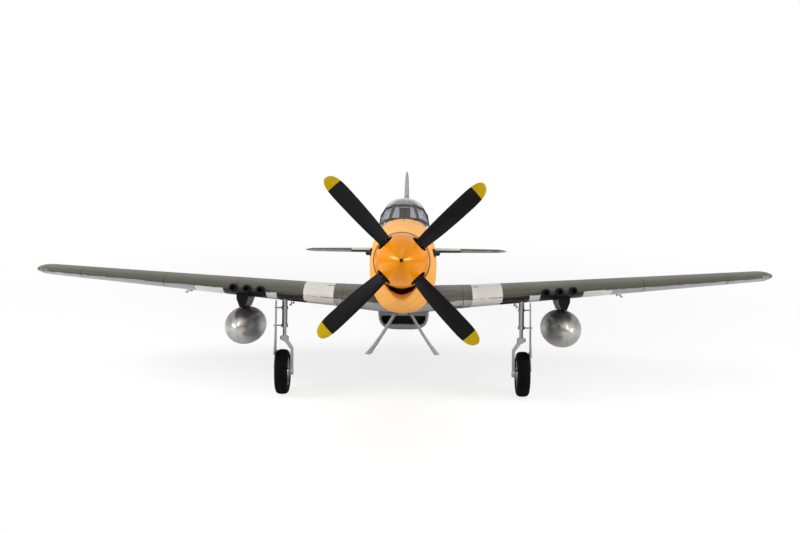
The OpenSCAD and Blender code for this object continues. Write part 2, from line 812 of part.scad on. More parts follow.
module fuselage() {
  color("olivedrab") difference() {
    union() {
      body_loft(body_stations);
      body_loft([plug_front, 260, cowl_rear + 1], inset = cowl_wall + 0.4);
      fillet_loft();
    }
    hatch_zone(0.5);
    for (s = [-1, 1]) side(s) {
      wing_loft(0, 106, grow = seat_gap);
      exhaust_block(0.4, 12);
    }
    bay(battery_size, battery_front, battery_floor, 1, 2);
    bay(controller_size, controller_front, controller_floor, 0.5, 1);
    bay(receiver_size, receiver_front, receiver_floor, 0.5, 1);
    for (s = [-1, 1]) side(s) box(5.6, 19, 639.6, 664.4, 5.8, 60);
    for (s = [-1, 1]) side(s) stab_loft(0, 60, grow = seat_gap);
    translate([0, elevator_hinge, stab_level]) along_x(-40, 40, 3);
    box(-40, 40, elevator_hinge - 3, elevator_hinge + 30, stab_level - 3, stab_level + 3);
    rudder_zone(moving_gap);
    translate([0, 968, -120]) cylinder(h = 84, r = 2.5 + running_fit);
  }
}

cowl_stations = [cowl_front, 96, 112, 140, 170, 210, 262, cowl_rear];

module nose_cowl() {
  color("gold") difference() {
    pipe([for (y = cowl_stations) body_ring(y)], [for (y = cowl_stations) body_ring(y, cowl_wall)]);
    for (s = [-1, 1]) side(s) exhaust_block(seat_gap, 12);
  }
}

module exhaust_stacks() {
  color("dimgray") for (s = [-1, 1]) side(s) difference() {
    union() {
      exhaust_block(0);
      for (i = [0:5]) translate([54.6 + 0.73 * i, 184 + 14 * i, 15]) rotate([0, 0, -38])
        translate([0, -3, 0]) along_y(0, 16, 4.6);
    }
    for (i = [0:5]) translate([54.6 + 0.73 * i, 184 + 14 * i, 15]) rotate([0, 0, -38])
      along_y(4, 20, 3.5);
  }
}

module motor_mount() {
  color("dimgray") difference() {
    union() {
      along_y(158, 162, 30);
      for (a = [45:90:315]) rotate([0, a, 0]) translate([24, 0, 0]) along_y(161, plug_front - 0.1, 4);
    }
    along_y(150, 170, 6);
  }
}

module motor_stator() {
  color("gray") difference() {
    union() {
      along_y(106, 153, 22);
      along_y(152, 157.9, 25);
    }
    along_y(100, 160, 4 + running_fit);
  }
}

module motor_bell() {
  color("dimgray") {
    difference() {
      along_y(100, 150, 26);
      along_y(104, 151, 23.5);
    }
    along_y(28.4, 156, 4);
  }
}

module speed_controller() {
  color("dimgray") packed(controller_size, controller_front, controller_floor);
}

module flight_battery() {
  color("orange") packed(battery_size, battery_front, battery_floor);
}

module receiver() {
  color("black") packed(receiver_size, receiver_front, receiver_floor);
}

// Spinner and propeller
function spinner_curve(t, r) = r * pow(sin(90 * unit(t)), 0.85);

module spinner() {
  tip_flat = 3.4;
  steps = 16;
  color("orange") difference() {
    turned(concat([[spinner_tip + 1, 0], [spinner_tip + 1, tip_flat]],
      [for (i = [2:steps]) let (t = i / steps)
        [spinner_tip + t * spinner_length, spinner_curve(t, spinner_radius)]],
      [[spinner_base, 0]]));
    turned(concat([[spinner_tip + 14, 0]],
      [for (i = [4:steps]) let (t = i / steps) [spinner_tip + t * spinner_length + (i == steps ? 1 : 0),
        spinner_curve(t - 0.035, spinner_radius - spinner_wall)]], [[spinner_base + 1, 0]]));
    along_y(spinner_tip - 5, spinner_tip + 20, 1.7);
    along_y(spinner_tip - 5, spinner_tip + 5, 3);
    for (k = [0:3]) rotate([0, prop_rest_turn + 45 + 90 * k, 0]) translate([0, prop_plane, 20])
      cylinder(h = 60, r = 15.5);
  }
}

module spinner_screw() {
  color("dimgray") {
    along_y(spinner_tip + 2, spinner_tip + 4.9, 2.8);
    along_y(spinner_tip + 4, 28.3, 1.5);
  }
}

module spinner_backplate() {
  color("silver") difference() {
    along_y(spinner_base + 0.1, spinner_base + 2.6, spinner_radius);
    along_y(spinner_base - 1, spinner_base + 5, 4.05);
  }
}

module prop_hub() {
  color("dimgray") difference() {
    along_y(50, spinner_base, 17);
    along_y(40, 90, 4.05);
    for (k = [0:3]) rotate([0, prop_rest_turn + 45 + 90 * k, 0]) translate([0, prop_plane, 8])
      cylinder(h = 20, r = 6.05);
  }
}

blade_rows = [[44, 0.8], [58, 0.84], [80, 0.92], [110, 0.98], [140, 1], [160, 0.99], [174, 0.9],
  [183, 0.72], [188.5, 0.45], [191, 0.16]];

// One blade pointing up (+Z) with its leading edge toward -X seen from the front
function blade_spot(c, chord, angle, v, r) = let (u = (c - 0.42) * chord)
  [u * cos(angle) + v * sin(angle), prop_plane + u * sin(angle) - v * cos(angle), r];
function blade_ring(row) = let (r = row[0] * prop_diameter / 382, chord = row[1] * blade_chord,
    angle = atan2(blade_pitch, 2 * PI * r), t = lerp(0.2, 0.09, unit((r - 44) / 120)) * chord,
    n = 7)
  concat([for (i = [n:-1:0]) let (c = (1 - cos(180 * i / n)) / 2)
    blade_spot(c, chord, angle, half_thick(c) * t * 1.25 + 0.12, r)],
  [for (i = [1:n]) let (c = (1 - cos(180 * i / n)) / 2)
    blade_spot(c, chord, angle, -half_thick(c) * t * 0.6 - 0.12, r)]);

module prop_blade() {
  loft([for (row = blade_rows) blade_ring(row)]);
  translate([0, prop_plane, 9]) cylinder(h = 38, r = 6);
}

module prop_blades() {
  color("black") for (k = [0:3]) rotate([0, prop_rest_turn + 45 + 90 * k, 0]) prop_blade();
}

// Belly scoop: station, half width, bottom
scoop_rows = [[490, 50, -134], [520, 53, -139], [570, 54, -145], [630, 52, -146], [690, 47, -138],
  [750, 40, -124], [810, 30, -105], [855, 20, -90]];
scoop_stations = [490, 503, 525, 560, 600, 645, 690, 735, 780, 815, 840];

function scoop_ring(y, inset) = let (w = table(scoop_rows, y, 1) - inset,
    low = table(scoop_rows, y, 2) + inset, n = 14)
  concat([for (i = [0:n]) let (a = 180 + 180 * i / n) [w * signed_power(cos(a), 0.5), y,
    -92 + (-92 - low) * signed_power(sin(a), 0.5)]], [[w, y, -78], [-w, y, -78]]);

module belly_scoop() {
  color("silver") difference() {
    loft([for (y = scoop_stations) scoop_ring(y, 0)]);
    for (s = [-1, 1]) side(s) wing_loft(0, 84, grow = seat_gap);
    body_loft([645, 690, 745, 800, 850, 900], inset = -seat_gap);
    translate([0, 488, 0]) rotate([-90, 0, 0]) linear_extrude(72) polygon([[-46, 112], [46, 112],
      [46, 122], [40, 130], [-40, 130], [-46, 122]]);
  }
}

// Tail surfaces
function stab_front(x) = lerp(1075, 1112, x / stab_half) + (1 - stab_tip(x)) * 44;
function stab_rear(x) = lerp(1225, 1215, x / stab_half) - (1 - stab_tip(x)) * 20;
function stab_tip(x) = x <= stab_half - 30 ? 1
  : max(0.2, sqrt(max(0, 1 - pow((x - stab_half + 30) / 30, 2))));
function stab_ratio(x) = lerp(0.1, 0.085, x / stab_half) * pow(stab_tip(x), 0.7);
tail_count = 8;
tail_steps = [for (i = [0:tail_count]) (1 - cos(180 * i / tail_count)) / 2];
function stab_ring(x, grow) = let (f = stab_front(x), l = stab_rear(x) - f, t = stab_ratio(x)) concat(
  [for (i = [tail_count:-1:0]) let (c = tail_steps[i])
    [x, f + c * l - (i == 0 ? grow : 0), stab_level + t * half_thick(c) * l + grow]],
  [for (i = [1:tail_count]) let (c = tail_steps[i]) [x, f + c * l, stab_level - t * half_thick(c) * l - grow]]);
stab_stations = [0, 30, 60, stab_half - 30, stab_half - 16, stab_half - 7, stab_half - 2, stab_half];

module stab_loft(from = 0, to = 9999, grow = 0) {
  loft([for (x = stab_stations) if (x >= from && x <= to) stab_ring(x, grow)], flip = true);
}

function stab_half_at(x) = let (l = stab_rear(x) - stab_front(x))
  stab_ratio(x) * half_thick((elevator_hinge - stab_front(x)) / l) * l;
stab_nose_in = 1.06 * stab_half_at(60);
stab_nose_out = 1.06 * stab_half_at(stab_half - 30);
function stab_nose(x) = stab_nose_in + (stab_nose_out - stab_nose_in) * (x - 60) / (stab_half - 90);

// Eye hinges: a lug on the fixed surface around a pin across a slot of the moving one
eye_radius = 2.4;
eye_half = 1.2;
eye_pin = 1;
elevator_eye_x = [90, 190];
rudder_eye_z = [92, 182];

module eye(reach) {
  translate([0, 0, -eye_half]) {
    cylinder(h = 2 * eye_half, r = eye_radius);
    translate([-1.6, -reach, 0]) cube([3.2, reach, 2 * eye_half]);
  }
}

module eye_slot() {
  translate([0, 0, -eye_half - 0.4]) {
    cylinder(h = 2 * eye_half + 0.8, r = eye_radius + 0.5);
    translate([-20, -20, 0]) cube([40, 20, 2 * eye_half + 0.8]);
  }
}

module elevator_eyes() {
  for (s = [-1, 1], x = elevator_eye_x) translate([s * x, elevator_hinge, stab_level])
    rotate([0, 90, 0]) children();
}

module rudder_eyes() {
  for (z = rudder_eye_z) translate([0, rudder_hinge, z]) children();
}

module eye_pins() {
  translate([0, 0, -eye_half - 3]) cylinder(h = 2 * eye_half + 6, r = eye_pin);
}

module eye_bores() {
  translate([0, 0, -eye_half - 1]) cylinder(h = 2 * eye_half + 2, r = eye_pin + running_fit);
}

module elevator_zone(x0, grow) {
  intersection() {
    box(x0, stab_half + 10, 1100, 1300, -50, 120);
    union() {
      bar([0, elevator_hinge, stab_level], [stab_half + 10, elevator_hinge, stab_level],
        stab_nose(0) + grow, stab_nose(stab_half + 10) + grow);
      box(0, stab_half + 20, elevator_hinge, 1300, -40, 110);
    }
  }
}

module tailplane() {
  color("darkolivegreen") difference() {
    union() {
      difference() {
        union() {
          stab_loft();
          mirror([1, 0, 0]) stab_loft();
        }
        for (s = [-1, 1]) side(s) elevator_zone(elevator_inner - 0.8, moving_gap);
        box(-30, 30, elevator_hinge - 4, 1300, 0, 70);
      }
      elevator_eyes() eye(12);
    }
    elevator_eyes() eye_bores();
  }
}

module elevator() {
  color("darkolivegreen") {
    difference() {
      for (s = [-1, 1]) side(s) intersection() {
        stab_loft();
        elevator_zone(elevator_inner, 0);
      }
      elevator_eyes() eye_slot();
    }
    elevator_eyes() eye_pins();
    translate([0, elevator_hinge, stab_level]) along_x(-elevator_inner - 5, elevator_inner + 5, 1.8);
  }
}

// Fin and rudder: level, front, rear, thickness over chord
fin_rows = [[-14, 1090, 1276, 0.075], [2, 1086, 1294, 0.085], [25, 1084, 1306, 0.088],
  [52, 1084, 1307, 0.09], [90, 1104, 1305, 0.09], [140, 1130, 1302, 0.09], [190, 1156, 1298, 0.088],
  [fin_top - 28, 1173, 1294, 0.086], [fin_top - 13, 1183, 1290, 0.078],
  [fin_top - 4, 1193, 1282, 0.06], [fin_top, 1203, 1270, 0.04]];

function fin_ring(row) = let (l = row[2] - row[1]) concat(
  [for (i = [tail_count:-1:0]) let (c = tail_steps[i]) [row[3] * half_thick(c) * l, row[1] + c * l, row[0]]],
  [for (i = [1:tail_count]) let (c = tail_steps[i]) [-row[3] * half_thick(c) * l, row[1] + c * l, row[0]]]);

module fin_loft() {
  loft([for (row = fin_rows) fin_ring(row)], flip = true);
}

function fin_half_at(k) = let (r = fin_rows[k], l = r[2] - r[1])
  r[3] * half_thick((rudder_hinge - r[1]) / l) * l;
fin_nose_low = 1.06 * fin_half_at(3);
fin_nose_high = 1.06 * fin_half_at(7);
function fin_nose(z) = fin_nose_low + (fin_nose_high - fin_nose_low) * (z - 52) / (fin_top - 80);

module rudder_zone(grow) {
  bar([0, rudder_hinge, -30], [0, rudder_hinge, fin_top + 10], fin_nose(-30) + grow,
    fin_nose(fin_top + 10) + grow);
  box(-40, 40, rudder_hinge, 1400, -40, fin_top + 20);
}

module rudder() {
  color("darkolivegreen") {
    difference() {
      intersection() {
        fin_loft();
        rudder_zone(0);
      }
      rudder_eyes() eye_slot();
    }
    rudder_eyes() eye_pins();
  }
}

// Dorsal fillet: station, half width at the spine, crest
fillet_rows = [[872, 2, 73], [930, 4, 72.5], [980, 5.5, 73.5], [1030, 7, 77.5], [1075, 8, 86],
  [1106, 8, 97]];

function fillet_ring(row, grow) = let (low = table(body_rows, row[0], 2) - 12, w = row[1] + grow,
    y = row[0] + (row[0] > 1100 ? grow : 0), t = row[2] + grow)
  [[w, y, low], [w, y, low + 10], [1.2 + grow, y, t], [-1.2 - grow, y, t], [-w, y, low + 10], [-w, y, low]];

module fillet_loft(grow = 0) {
  loft([for (row = fillet_rows) fillet_ring(row, grow)]);
}

module tail_fin() {
  color("darkolivegreen") difference() {
    union() {
      difference() {
        intersection() {
          fin_loft();
          box(-50, 50, 1000, 1300, 42.5, 300);
        }
        rudder_zone(moving_gap);
        body_loft([1050, 1100, 1150, 1200, 1235], inset = -seat_gap);
        fillet_loft(seat_gap);
      }
      rudder_eyes() eye(14);
    }
    rudder_eyes() eye_bores();
  }
}

module tail_leg() {
  color("gray") {
    translate([0, 968, -101]) cylinder(h = 61, r = 2.5);
    box(-10.5, 10.5, 960, 990, -105, -100);
    for (s = [-1, 1]) side(s) rotate([90, 0, 90]) translate([0, 0, 8.2]) linear_extrude(2.3)
      polygon([[964, -100], [986, -100], [992, -126], [989, -133], [981, -133], [978, -128]]);
    translate([0, tail_wheel_y, tail_wheel_z]) along_x(-10, 10, 1.5);
  }
}

module tail_wheel() {
  r = tail_wheel_radius;
  color("dimgray") translate([0, tail_wheel_y, tail_wheel_z]) difference() {
    rotate([0, 0, 90]) turned(concat([[-6, 1.5 + running_fit], [-6, 6], [-4, 8]],
      [for (i = [0:12]) let (a = 180 * i / 12 - 90)
        [5.5 * signed_power(sin(a), 0.8), r - 6 + 6 * pow(cos(a), 0.6)]],
      [[4, 8], [6, 6], [6, 1.5 + running_fit]]));
  }
}

// Hatch with cockpit, windscreen and canopy
module hatch_deck() {
  color("goldenrod") difference() {
    intersection() {
      body_loft([300, 345, 388, 430, 475, 520, 560, 600, 645, 690, 745]);
      hatch_zone(0);
    }
    box(-37, 37, 452, 652, hatch_level + 6, 200);
  }
}

screen_base = [[50, 503, 74], [47, 484, 76.5], [41, 462, 80.5], [29, 437, 84.5]];
screen_bow = [[51, 508, 74], [47.5, 507.5, 95], [38, 507, 110], [20, 506, 118]];
function mirrored(list) = [for (i = [len(list) - 1:-1:0]) [-list[i][0], list[i][1], list[i][2]]];
function full(list) = concat(list, mirrored(list));
function inward(p, d) = [p[0] - sign(p[0]) * d, p[1] + d * 0.5, p[2] - d];
function sheet(list, d) = concat(full(list), [for (i = [2 * len(list) - 1:-1:0]) inward(full(list)[i], d)]);

function outward(p, d) = [p[0] + sign(p[0]) * d, p[1] - d * 0.5, p[2] + d];
function strip(list, d) = concat([for (p = list) outward(p, d)],
  [for (i = [len(list) - 1:-1:0]) outward(list[i], 0.3)]);
function between(t) = [for (i = [0:len(screen_base) - 1]) lerp(screen_base[i], screen_bow[i], t)];
function toward(a, b, d) = a + (b - a) * d / norm(b - a);
function flipped(p) = [-p[0], p[1], p[2]];
function pillar(t) = let (row = between(t))
  [toward(row[3], row[2], 3), row[3], toward(row[3], flipped(row[3]), 3)];

deck_rings = [388, 430, 475, 520, 560, 600, 645, 690, 745];

module windscreen_frame() {
  color("darkslategray") difference() {
    union() {
      loft([strip(full(between(0)), 1.9), strip(full(between(0.08)), 1.9)]);
      loft([strip(full(between(0.9)), 1.9), strip(full(between(1)), 1.9)]);
      for (s = [-1, 1]) side(s) loft([strip(pillar(0.02), 1.8), strip(pillar(0.98), 1.8)]);
    }
    body_loft(deck_rings, inset = -0.05);
  }
}

module windscreen_glass() {
  color("lightsteelblue") difference() {
    loft([for (t = [0, 0.08, 0.36, 0.63, 0.9, 1]) sheet(between(t), glass_wall)]);
    body_loft(deck_rings, inset = -0.05);
  }
}

// Canopy: station, half width at the sill, top
canopy_rows = [[510.6, 50, 121], [530, 50.5, 130], [560, 50, 136], [595, 47, 134], [630, 41, 124],
  [660, 33, 109], [684, 24, 94], [698, 15, 85]];
canopy_stations = [510.6, 520, 537, 560, 587, 615, 642, 665, 682, 689.4];

function canopy_arch(y, inset) = let (w = table(canopy_rows, y, 1) - inset,
    top = 77 + (table(canopy_rows, y, 2) - 77) * (canopy_top - 77) / 59 - inset, n = 12)
  [for (i = [0:n]) let (a = 180 * i / n)
    [w * signed_power(cos(a), 0.85), y, 70 + (top - 70) * pow(sin(a), 0.8)]];

module canopy_glass() {
  color("lightsteelblue") difference() {
    loft([for (y = canopy_stations) let (o = canopy_arch(y, 0), k = canopy_arch(y, glass_wall))
      concat(o, [for (i = [len(k) - 1:-1:0]) k[i]])]);
    body_loft(deck_rings, inset = -0.05);
    box(-100, 100, 500, 720, 0, 75);
  }
}

module cockpit_seat() {
  color("dimgray") {
    box(-17, 17, 560, 604, hatch_level + 6.1, 58);
    box(-15, 15, 596, 604, 57, 96);
    box(-12, 12, 597, 603, 95, 117);
  }
}

module instrument_panel() {
  color("black") {
    box(-34, 34, 500, 506, hatch_level + 6.1, 74);
    box(-20, 20, 490, 507, 73, 79);
    box(4, 14, 494, 506, 78, 92);
  }
}

rear_reach = max([for (r = fin_rows) r[2] * cos(ground_angle) + r[0] * sin(ground_angle)]);
front_reach = spinner_tip * cos(ground_angle);

translate([0, -(rear_reach + front_reach) / 2, ground_height]) rotate([-ground_angle, 0, 0]) {
  fuselage();
  nose_cowl();
  exhaust_stacks();
  motor_mount();
  motor_stator();
  speed_controller();
  flight_battery();
  receiver();
  servos();
  left_wing();
  right_wing();
  wing_spar();
  gun_barrels();
  tank_pylons();
  left_drop_tank();
  right_drop_tank();
  belly_scoop();
  tail_fin();
  tailplane();
  retract_units();
  spinner();
  spinner_backplate();
  prop_blades();
  prop_hub();
  spinner_screw();
  motor_bell();
  left_gear_leg();
  right_gear_leg();
  left_strut_door();
  right_strut_door();
  left_oleo_fork();
  right_oleo_fork();
  left_tyre();
  right_tyre();
  left_wheel_hub();
  right_wheel_hub();
  left_inner_door();
  right_inner_door();
  left_aileron();
  right_aileron();
  left_flap();
  right_flap();
  elevator();
  rudder();
  tail_leg();
  tail_wheel();
  hatch_deck();
  windscreen_frame();
  windscreen_glass();
  canopy_glass();
  cockpit_seat();
  instrument_panel();
  left_aileron_arm();
  right_aileron_arm();
  left_aileron_rod();
  right_aileron_rod();
  left_flap_arm();
  right_flap_arm();
  left_flap_rod();
  right_flap_rod();
}
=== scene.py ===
# Radio-controlled low-wing fighter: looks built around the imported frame
import json

import bmesh
import bpy
import numpy as np
from mathutils import Matrix, Vector


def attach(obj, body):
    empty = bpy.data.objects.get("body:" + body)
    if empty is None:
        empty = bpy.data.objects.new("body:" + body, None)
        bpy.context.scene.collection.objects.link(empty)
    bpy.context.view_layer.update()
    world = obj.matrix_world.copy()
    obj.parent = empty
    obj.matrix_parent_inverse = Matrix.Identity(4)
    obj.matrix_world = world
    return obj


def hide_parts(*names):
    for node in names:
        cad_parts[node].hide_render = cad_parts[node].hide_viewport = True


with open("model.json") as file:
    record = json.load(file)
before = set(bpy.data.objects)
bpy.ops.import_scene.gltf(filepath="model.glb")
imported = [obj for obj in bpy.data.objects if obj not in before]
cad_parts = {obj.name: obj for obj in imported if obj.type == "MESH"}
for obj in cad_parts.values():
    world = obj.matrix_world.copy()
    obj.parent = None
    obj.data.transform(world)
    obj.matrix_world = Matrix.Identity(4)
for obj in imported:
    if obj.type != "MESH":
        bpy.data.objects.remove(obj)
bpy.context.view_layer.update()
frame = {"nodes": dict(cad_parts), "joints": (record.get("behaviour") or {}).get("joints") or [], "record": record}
record = frame["record"]
joints = {joint["name"]: joint for joint in frame["joints"]}
bodyOf = {node: body for body, nodes in record["behaviour"]["bodies"].items() for node in nodes}
slotOf = {part["node"]: part["material_slot"] for part in record["subparts"]}
print("frame loaded,", len(frame["nodes"]), "nodes")

# The aircraft's own axes, in mm: x along the span, y aft from the spinner tip, z above the thrust line
propPlane = 62
aftAxis = np.array(joints["propeller_spin"]["axis"])
upAxis = np.array(joints["hatch_lift"]["axis"])
axes = np.stack([np.array([1.0, 0, 0]), aftAxis, upAxis])
origin = np.array(joints["propeller_spin"]["pos_m"]) - propPlane / 1000 * aftAxis
noseUp = float(np.arctan2(-aftAxis[2], aftAxis[1]))


def toRow(points):
    # aircraft mm to the frame's metres
    return origin + np.asarray(points, float) / 1000 @ axes


def toAircraft(coords):
    # the frame's metres to aircraft mm
    return (np.asarray(coords, float) - origin) @ axes.T * 1000


# Shared curves

def smoothStep(t):
    # three t squared less two t cubed, held at 0 before and at 1 after
    u = np.clip(t, 0, 1)
    return u * u * (3 - 2 * u)


def signedPower(v, e):
    # the size of v to the power e, with the sign of v
    return np.sign(v) * np.abs(v) ** e


def tableAt(rows, y):
    # cubic Hermite through the rows, each column against the first, slopes from the neighbours
    rows = np.asarray(rows, float)
    y = np.asarray(y, float)
    last = len(rows) - 1
    index = np.arange(last + 1)
    before = rows[np.maximum(index - 1, 0)]
    after = rows[np.minimum(index + 1, last)]
    slopes = (after - before) / (after[:, :1] - before[:, :1])
    i = np.clip(np.searchsorted(rows[:, 0], y, side="right") - 1, 0, last - 1)
    h = (rows[i + 1, 0] - rows[i, 0])[..., None]
    u = np.clip((y[..., None] - rows[i, :1]) / h, 0, 1)
    v = u * u
    w = v * u
    values = ((2 * w - 3 * v + 1) * rows[i] + (w - 2 * v + u) * h * slopes[i]
              + (3 * v - 2 * w) * rows[i + 1] + (w - v) * h * slopes[i + 1])
    return np.moveaxis(values, -1, 0)[1:]


def foilHalf(c):
    # half thickness of a symmetric aerofoil of unit thickness at chord fraction c
    return 5 * (0.2969 * np.sqrt(c) - 0.126 * c - 0.3516 * c ** 2 + 0.2843 * c ** 3 - 0.1015 * c ** 4)


# Mesh helpers

weldSteps = 2e5  # steps per metre of a grid: packed corners on the same step become one
onLevel = 1e-4  # mm, a corner this close to a cut lies on it
leastRadius = 1e-6  # mm, keeps a division by a radius finite


def addMesh(name, points, faces, sharp=30):
    # a mesh from aircraft mm, shaded smooth except at edges past the sharp angle in degrees
    mesh = bpy.data.meshes.new(name)
    mesh.from_pydata(toRow(points), [], faces)
    mesh.shade_smooth()
    mesh.set_sharp_from_angle(angle=np.radians(sharp))
    mesh.update()
    obj = bpy.data.objects.new(name, mesh)
    bpy.context.scene.collection.objects.link(obj)
    return obj


def gridFaces(rows, columns):
    # quads of a grid of rows by columns, joined round its columns
    j, i = np.meshgrid(np.arange(rows - 1), np.arange(columns), indexing="ij")
    a = j * columns + i
    b = j * columns + (i + 1) % columns
    return np.stack([a, b, b + columns, a + columns], -1).reshape(-1, 4)


def fanFaces(ring, tip, flip):
    # triangles from a ring to one tip point
    around = np.roll(ring, -1)
    faces = np.stack([ring, around, np.full_like(ring, tip)], -1)
    return faces[:, ::-1] if flip else faces


def closedGrid(points):
    # a grid of rings closed round, with a fan over its first and last ring
    rows, columns = points.shape[:2]
    flat = points.reshape(-1, 3)
    tips = np.stack([points[0].mean(0), points[-1].mean(0)])
    ring = np.arange(columns)
    faces = [gridFaces(rows, columns), fanFaces(ring, len(flat), True),
             fanFaces(ring + (rows - 1) * columns, len(flat) + 1, False)]
    return np.concatenate([flat, tips]), [list(map(int, f)) for part in faces for f in part]


def tubeGrid(points):
    # a grid closed both round its rings and from the last ring to the first
    rows, columns = points.shape[:2]
    faces = gridFaces(rows + 1, columns) % (rows * columns)
    return points.reshape(-1, 3), faces.tolist()


def turnedGrid(profile, around, centre):
    # a profile of [along, radius] turned about the y axis through the centre
    turn = np.linspace(0, 2 * np.pi, around, endpoint=False)
    along = np.repeat(profile[:, :1], around, 1)
    across = profile[:, 1:] * np.sin(turn)
    up = profile[:, 1:] * np.cos(turn)
    return np.stack([across, along, up], -1) + np.asarray(centre, float)


def cadTriangles(node):
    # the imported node's triangles in aircraft mm, with shared corners welded
    mesh = frame["nodes"][node].data
    coords = np.empty(len(mesh.vertices) * 3, np.float32)
    mesh.vertices.foreach_get("co", coords)
    mesh.calc_loop_triangles()
    tris = np.empty(len(mesh.loop_triangles) * 3, np.int32)
    mesh.loop_triangles.foreach_get("vertices", tris)
    keys = np.round(coords.reshape(-1, 3) * weldSteps).astype(np.int64)
    first, inverse = np.unique(keys, axis=0, return_index=True, return_inverse=True)[1:]
    tris = inverse.reshape(-1)[tris].reshape(-1, 3)
    whole = (tris[:, 0] != tris[:, 1]) & (tris[:, 1] != tris[:, 2]) & (tris[:, 2] != tris[:, 0])
    return toAircraft(coords.reshape(-1, 3)[first]), tris[whole]


def cutAt(points, tris, field, level):
    # splits each triangle that crosses one level of the field, sharing the new corners along edges
    height = field(points) - level
    height[np.abs(height) < onLevel] = 0
    sign = np.sign(height)[tris]
    crossing = (sign.max(1) > 0) & (sign.min(1) < 0)
    if not crossing.any():
        return points, tris
    cut = tris[crossing]
    sign = sign[crossing]
    touching = (sign == 0).any(1)
    odd = np.argmax(sign == -np.sign(sign.sum(1))[:, None], 1)
    lone = np.where(touching, np.argmax(sign == 0, 1), odd)
    cut = np.take_along_axis(cut, (lone[:, None] + np.arange(3)) % 3, 1)
    one = cut[touching]
    two = cut[~touching]
    edges = np.concatenate([one[:, 1:], two[:, :2], two[:, ::2]])
    ends, inverse = np.unique(np.sort(edges, 1), axis=0, return_inverse=True)
    share = (height[ends[:, 0]] / (height[ends[:, 0]] - height[ends[:, 1]]))[:, None]
    added = points[ends[:, 0]] * (1 - share) + points[ends[:, 1]] * share
    spots = len(points) + inverse.reshape(-1)
    p = spots[:len(one)]
    q = spots[len(one):len(one) + len(two)]
    r = spots[len(one) + len(two):]
    pieces = [tris[~crossing], np.stack([one[:, 0], one[:, 1], p], 1), np.stack([one[:, 0], p, one[:, 2]], 1),
              np.stack([two[:, 0], q, r], 1), np.stack([q, two[:, 1], two[:, 2]], 1),
              np.stack([q, two[:, 2], r], 1)]
    return np.concatenate([points, added]), np.concatenate(pieces)


def refined(node, cuts, flip=False):
    # the node's triangles cut fine along each field, ready to be drawn onto the smooth formula
    points, tris = cadTriangles(node)
    if flip:
        points = points * [-1, 1, 1]
        tris = tris[:, ::-1]
    for field, levels in cuts:
        low = field(points).min()
        high = field(points).max()
        for level in levels:
            if low < level < high:
                points, tris = cutAt(points, tris, field, level)
    return points, tris


def finish(obj, node, material):
    # puts the piece on the node's body with its finish, in place of the node
    obj.data.materials.append(material)
    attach(obj, bodyOf[node])
    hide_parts(node)
    return obj


# Node materials

def colour(code):
    # sRGB hex to linear RGBA
    srgb = np.array([int(code[i:i + 2], 16) for i in (1, 3, 5)]) / 255
    linear = np.where(srgb <= 0.04045, srgb / 12.92, ((srgb + 0.055) / 1.055) ** 2.4)
    return (*linear.tolist(), 1.0)


def addNode(tree, kind, inputs=None, out=0, stops=None, **settings):
    # one node with its settings, its inputs linked or set, and optional ramp stops; gives one output
    node = tree.nodes.new("ShaderNode" + kind)
    for key, value in settings.items():
        setattr(node, key, value)
    for key, value in (inputs or {}).items():
        if isinstance(value, bpy.types.NodeSocket):
            tree.links.new(value, node.inputs[key])
        else:
            node.inputs[key].default_value = value
    if stops:
        ramp = node.color_ramp
        while len(ramp.elements) < len(stops):
            ramp.elements.new(0.5)
        for element, (spot, value) in zip(ramp.elements, stops):
            element.position = spot
            element.color = value
    return node if out is None else node.outputs[out]


def newMaterial(name):
    # a material with an empty node tree
    material = bpy.data.materials.new(name)
    material.use_nodes = True
    tree = material.node_tree
    tree.nodes.clear()
    return material, tree


def aircraftSpace(tree):
    # object coordinates turned into the aircraft's own mm
    coords = addNode(tree, "TexCoord", out="Object")
    shift = -(origin @ axes.T) * 1000
    return addNode(tree, "Mapping", {"Vector": coords, "Location": shift.tolist(),
                                     "Rotation": (noseUp, 0, 0), "Scale": (1000, 1000, 1000)})


def surface(tree, **inputs):
    # the shader's inputs by name, underscores for spaces
    names = {key.replace("_", " "): value for key, value in inputs.items()}
    shader = addNode(tree, "BsdfPrincipled", names)
    addNode(tree, "OutputMaterial", {"Surface": shader}, out=None)


def lineMask(tree, coord, spots, width):
    # one inside a narrow line at each spot along the coordinate, fading at its edges
    nearest = None
    for spot in spots:
        offset = addNode(tree, "Math", {0: coord, 1: float(spot)}, operation="SUBTRACT")
        gap = addNode(tree, "Math", {0: offset}, operation="ABSOLUTE")
        nearest = gap if nearest is None else addNode(tree, "Math", {0: nearest, 1: gap}, operation="MINIMUM")
    return addNode(tree, "MapRange", {"Value": nearest, "From Min": width * 0.5, "From Max": width,
                                      "To Min": 1.0, "To Max": 0.0}, interpolation_type="SMOOTHSTEP")


def bandRamp(tree, coord, reach, bands):
    # hard-edged colours along a coordinate, each from its own start
    t = addNode(tree, "Math", {0: coord, 1: float(reach)}, operation="DIVIDE")
    stops = [(at / reach, colour(code)) for at, code in bands]
    node = addNode(tree, "ValToRGB", {0: t}, out=None, stops=stops)
    node.color_ramp.interpolation = "CONSTANT"
    return node.outputs[0]


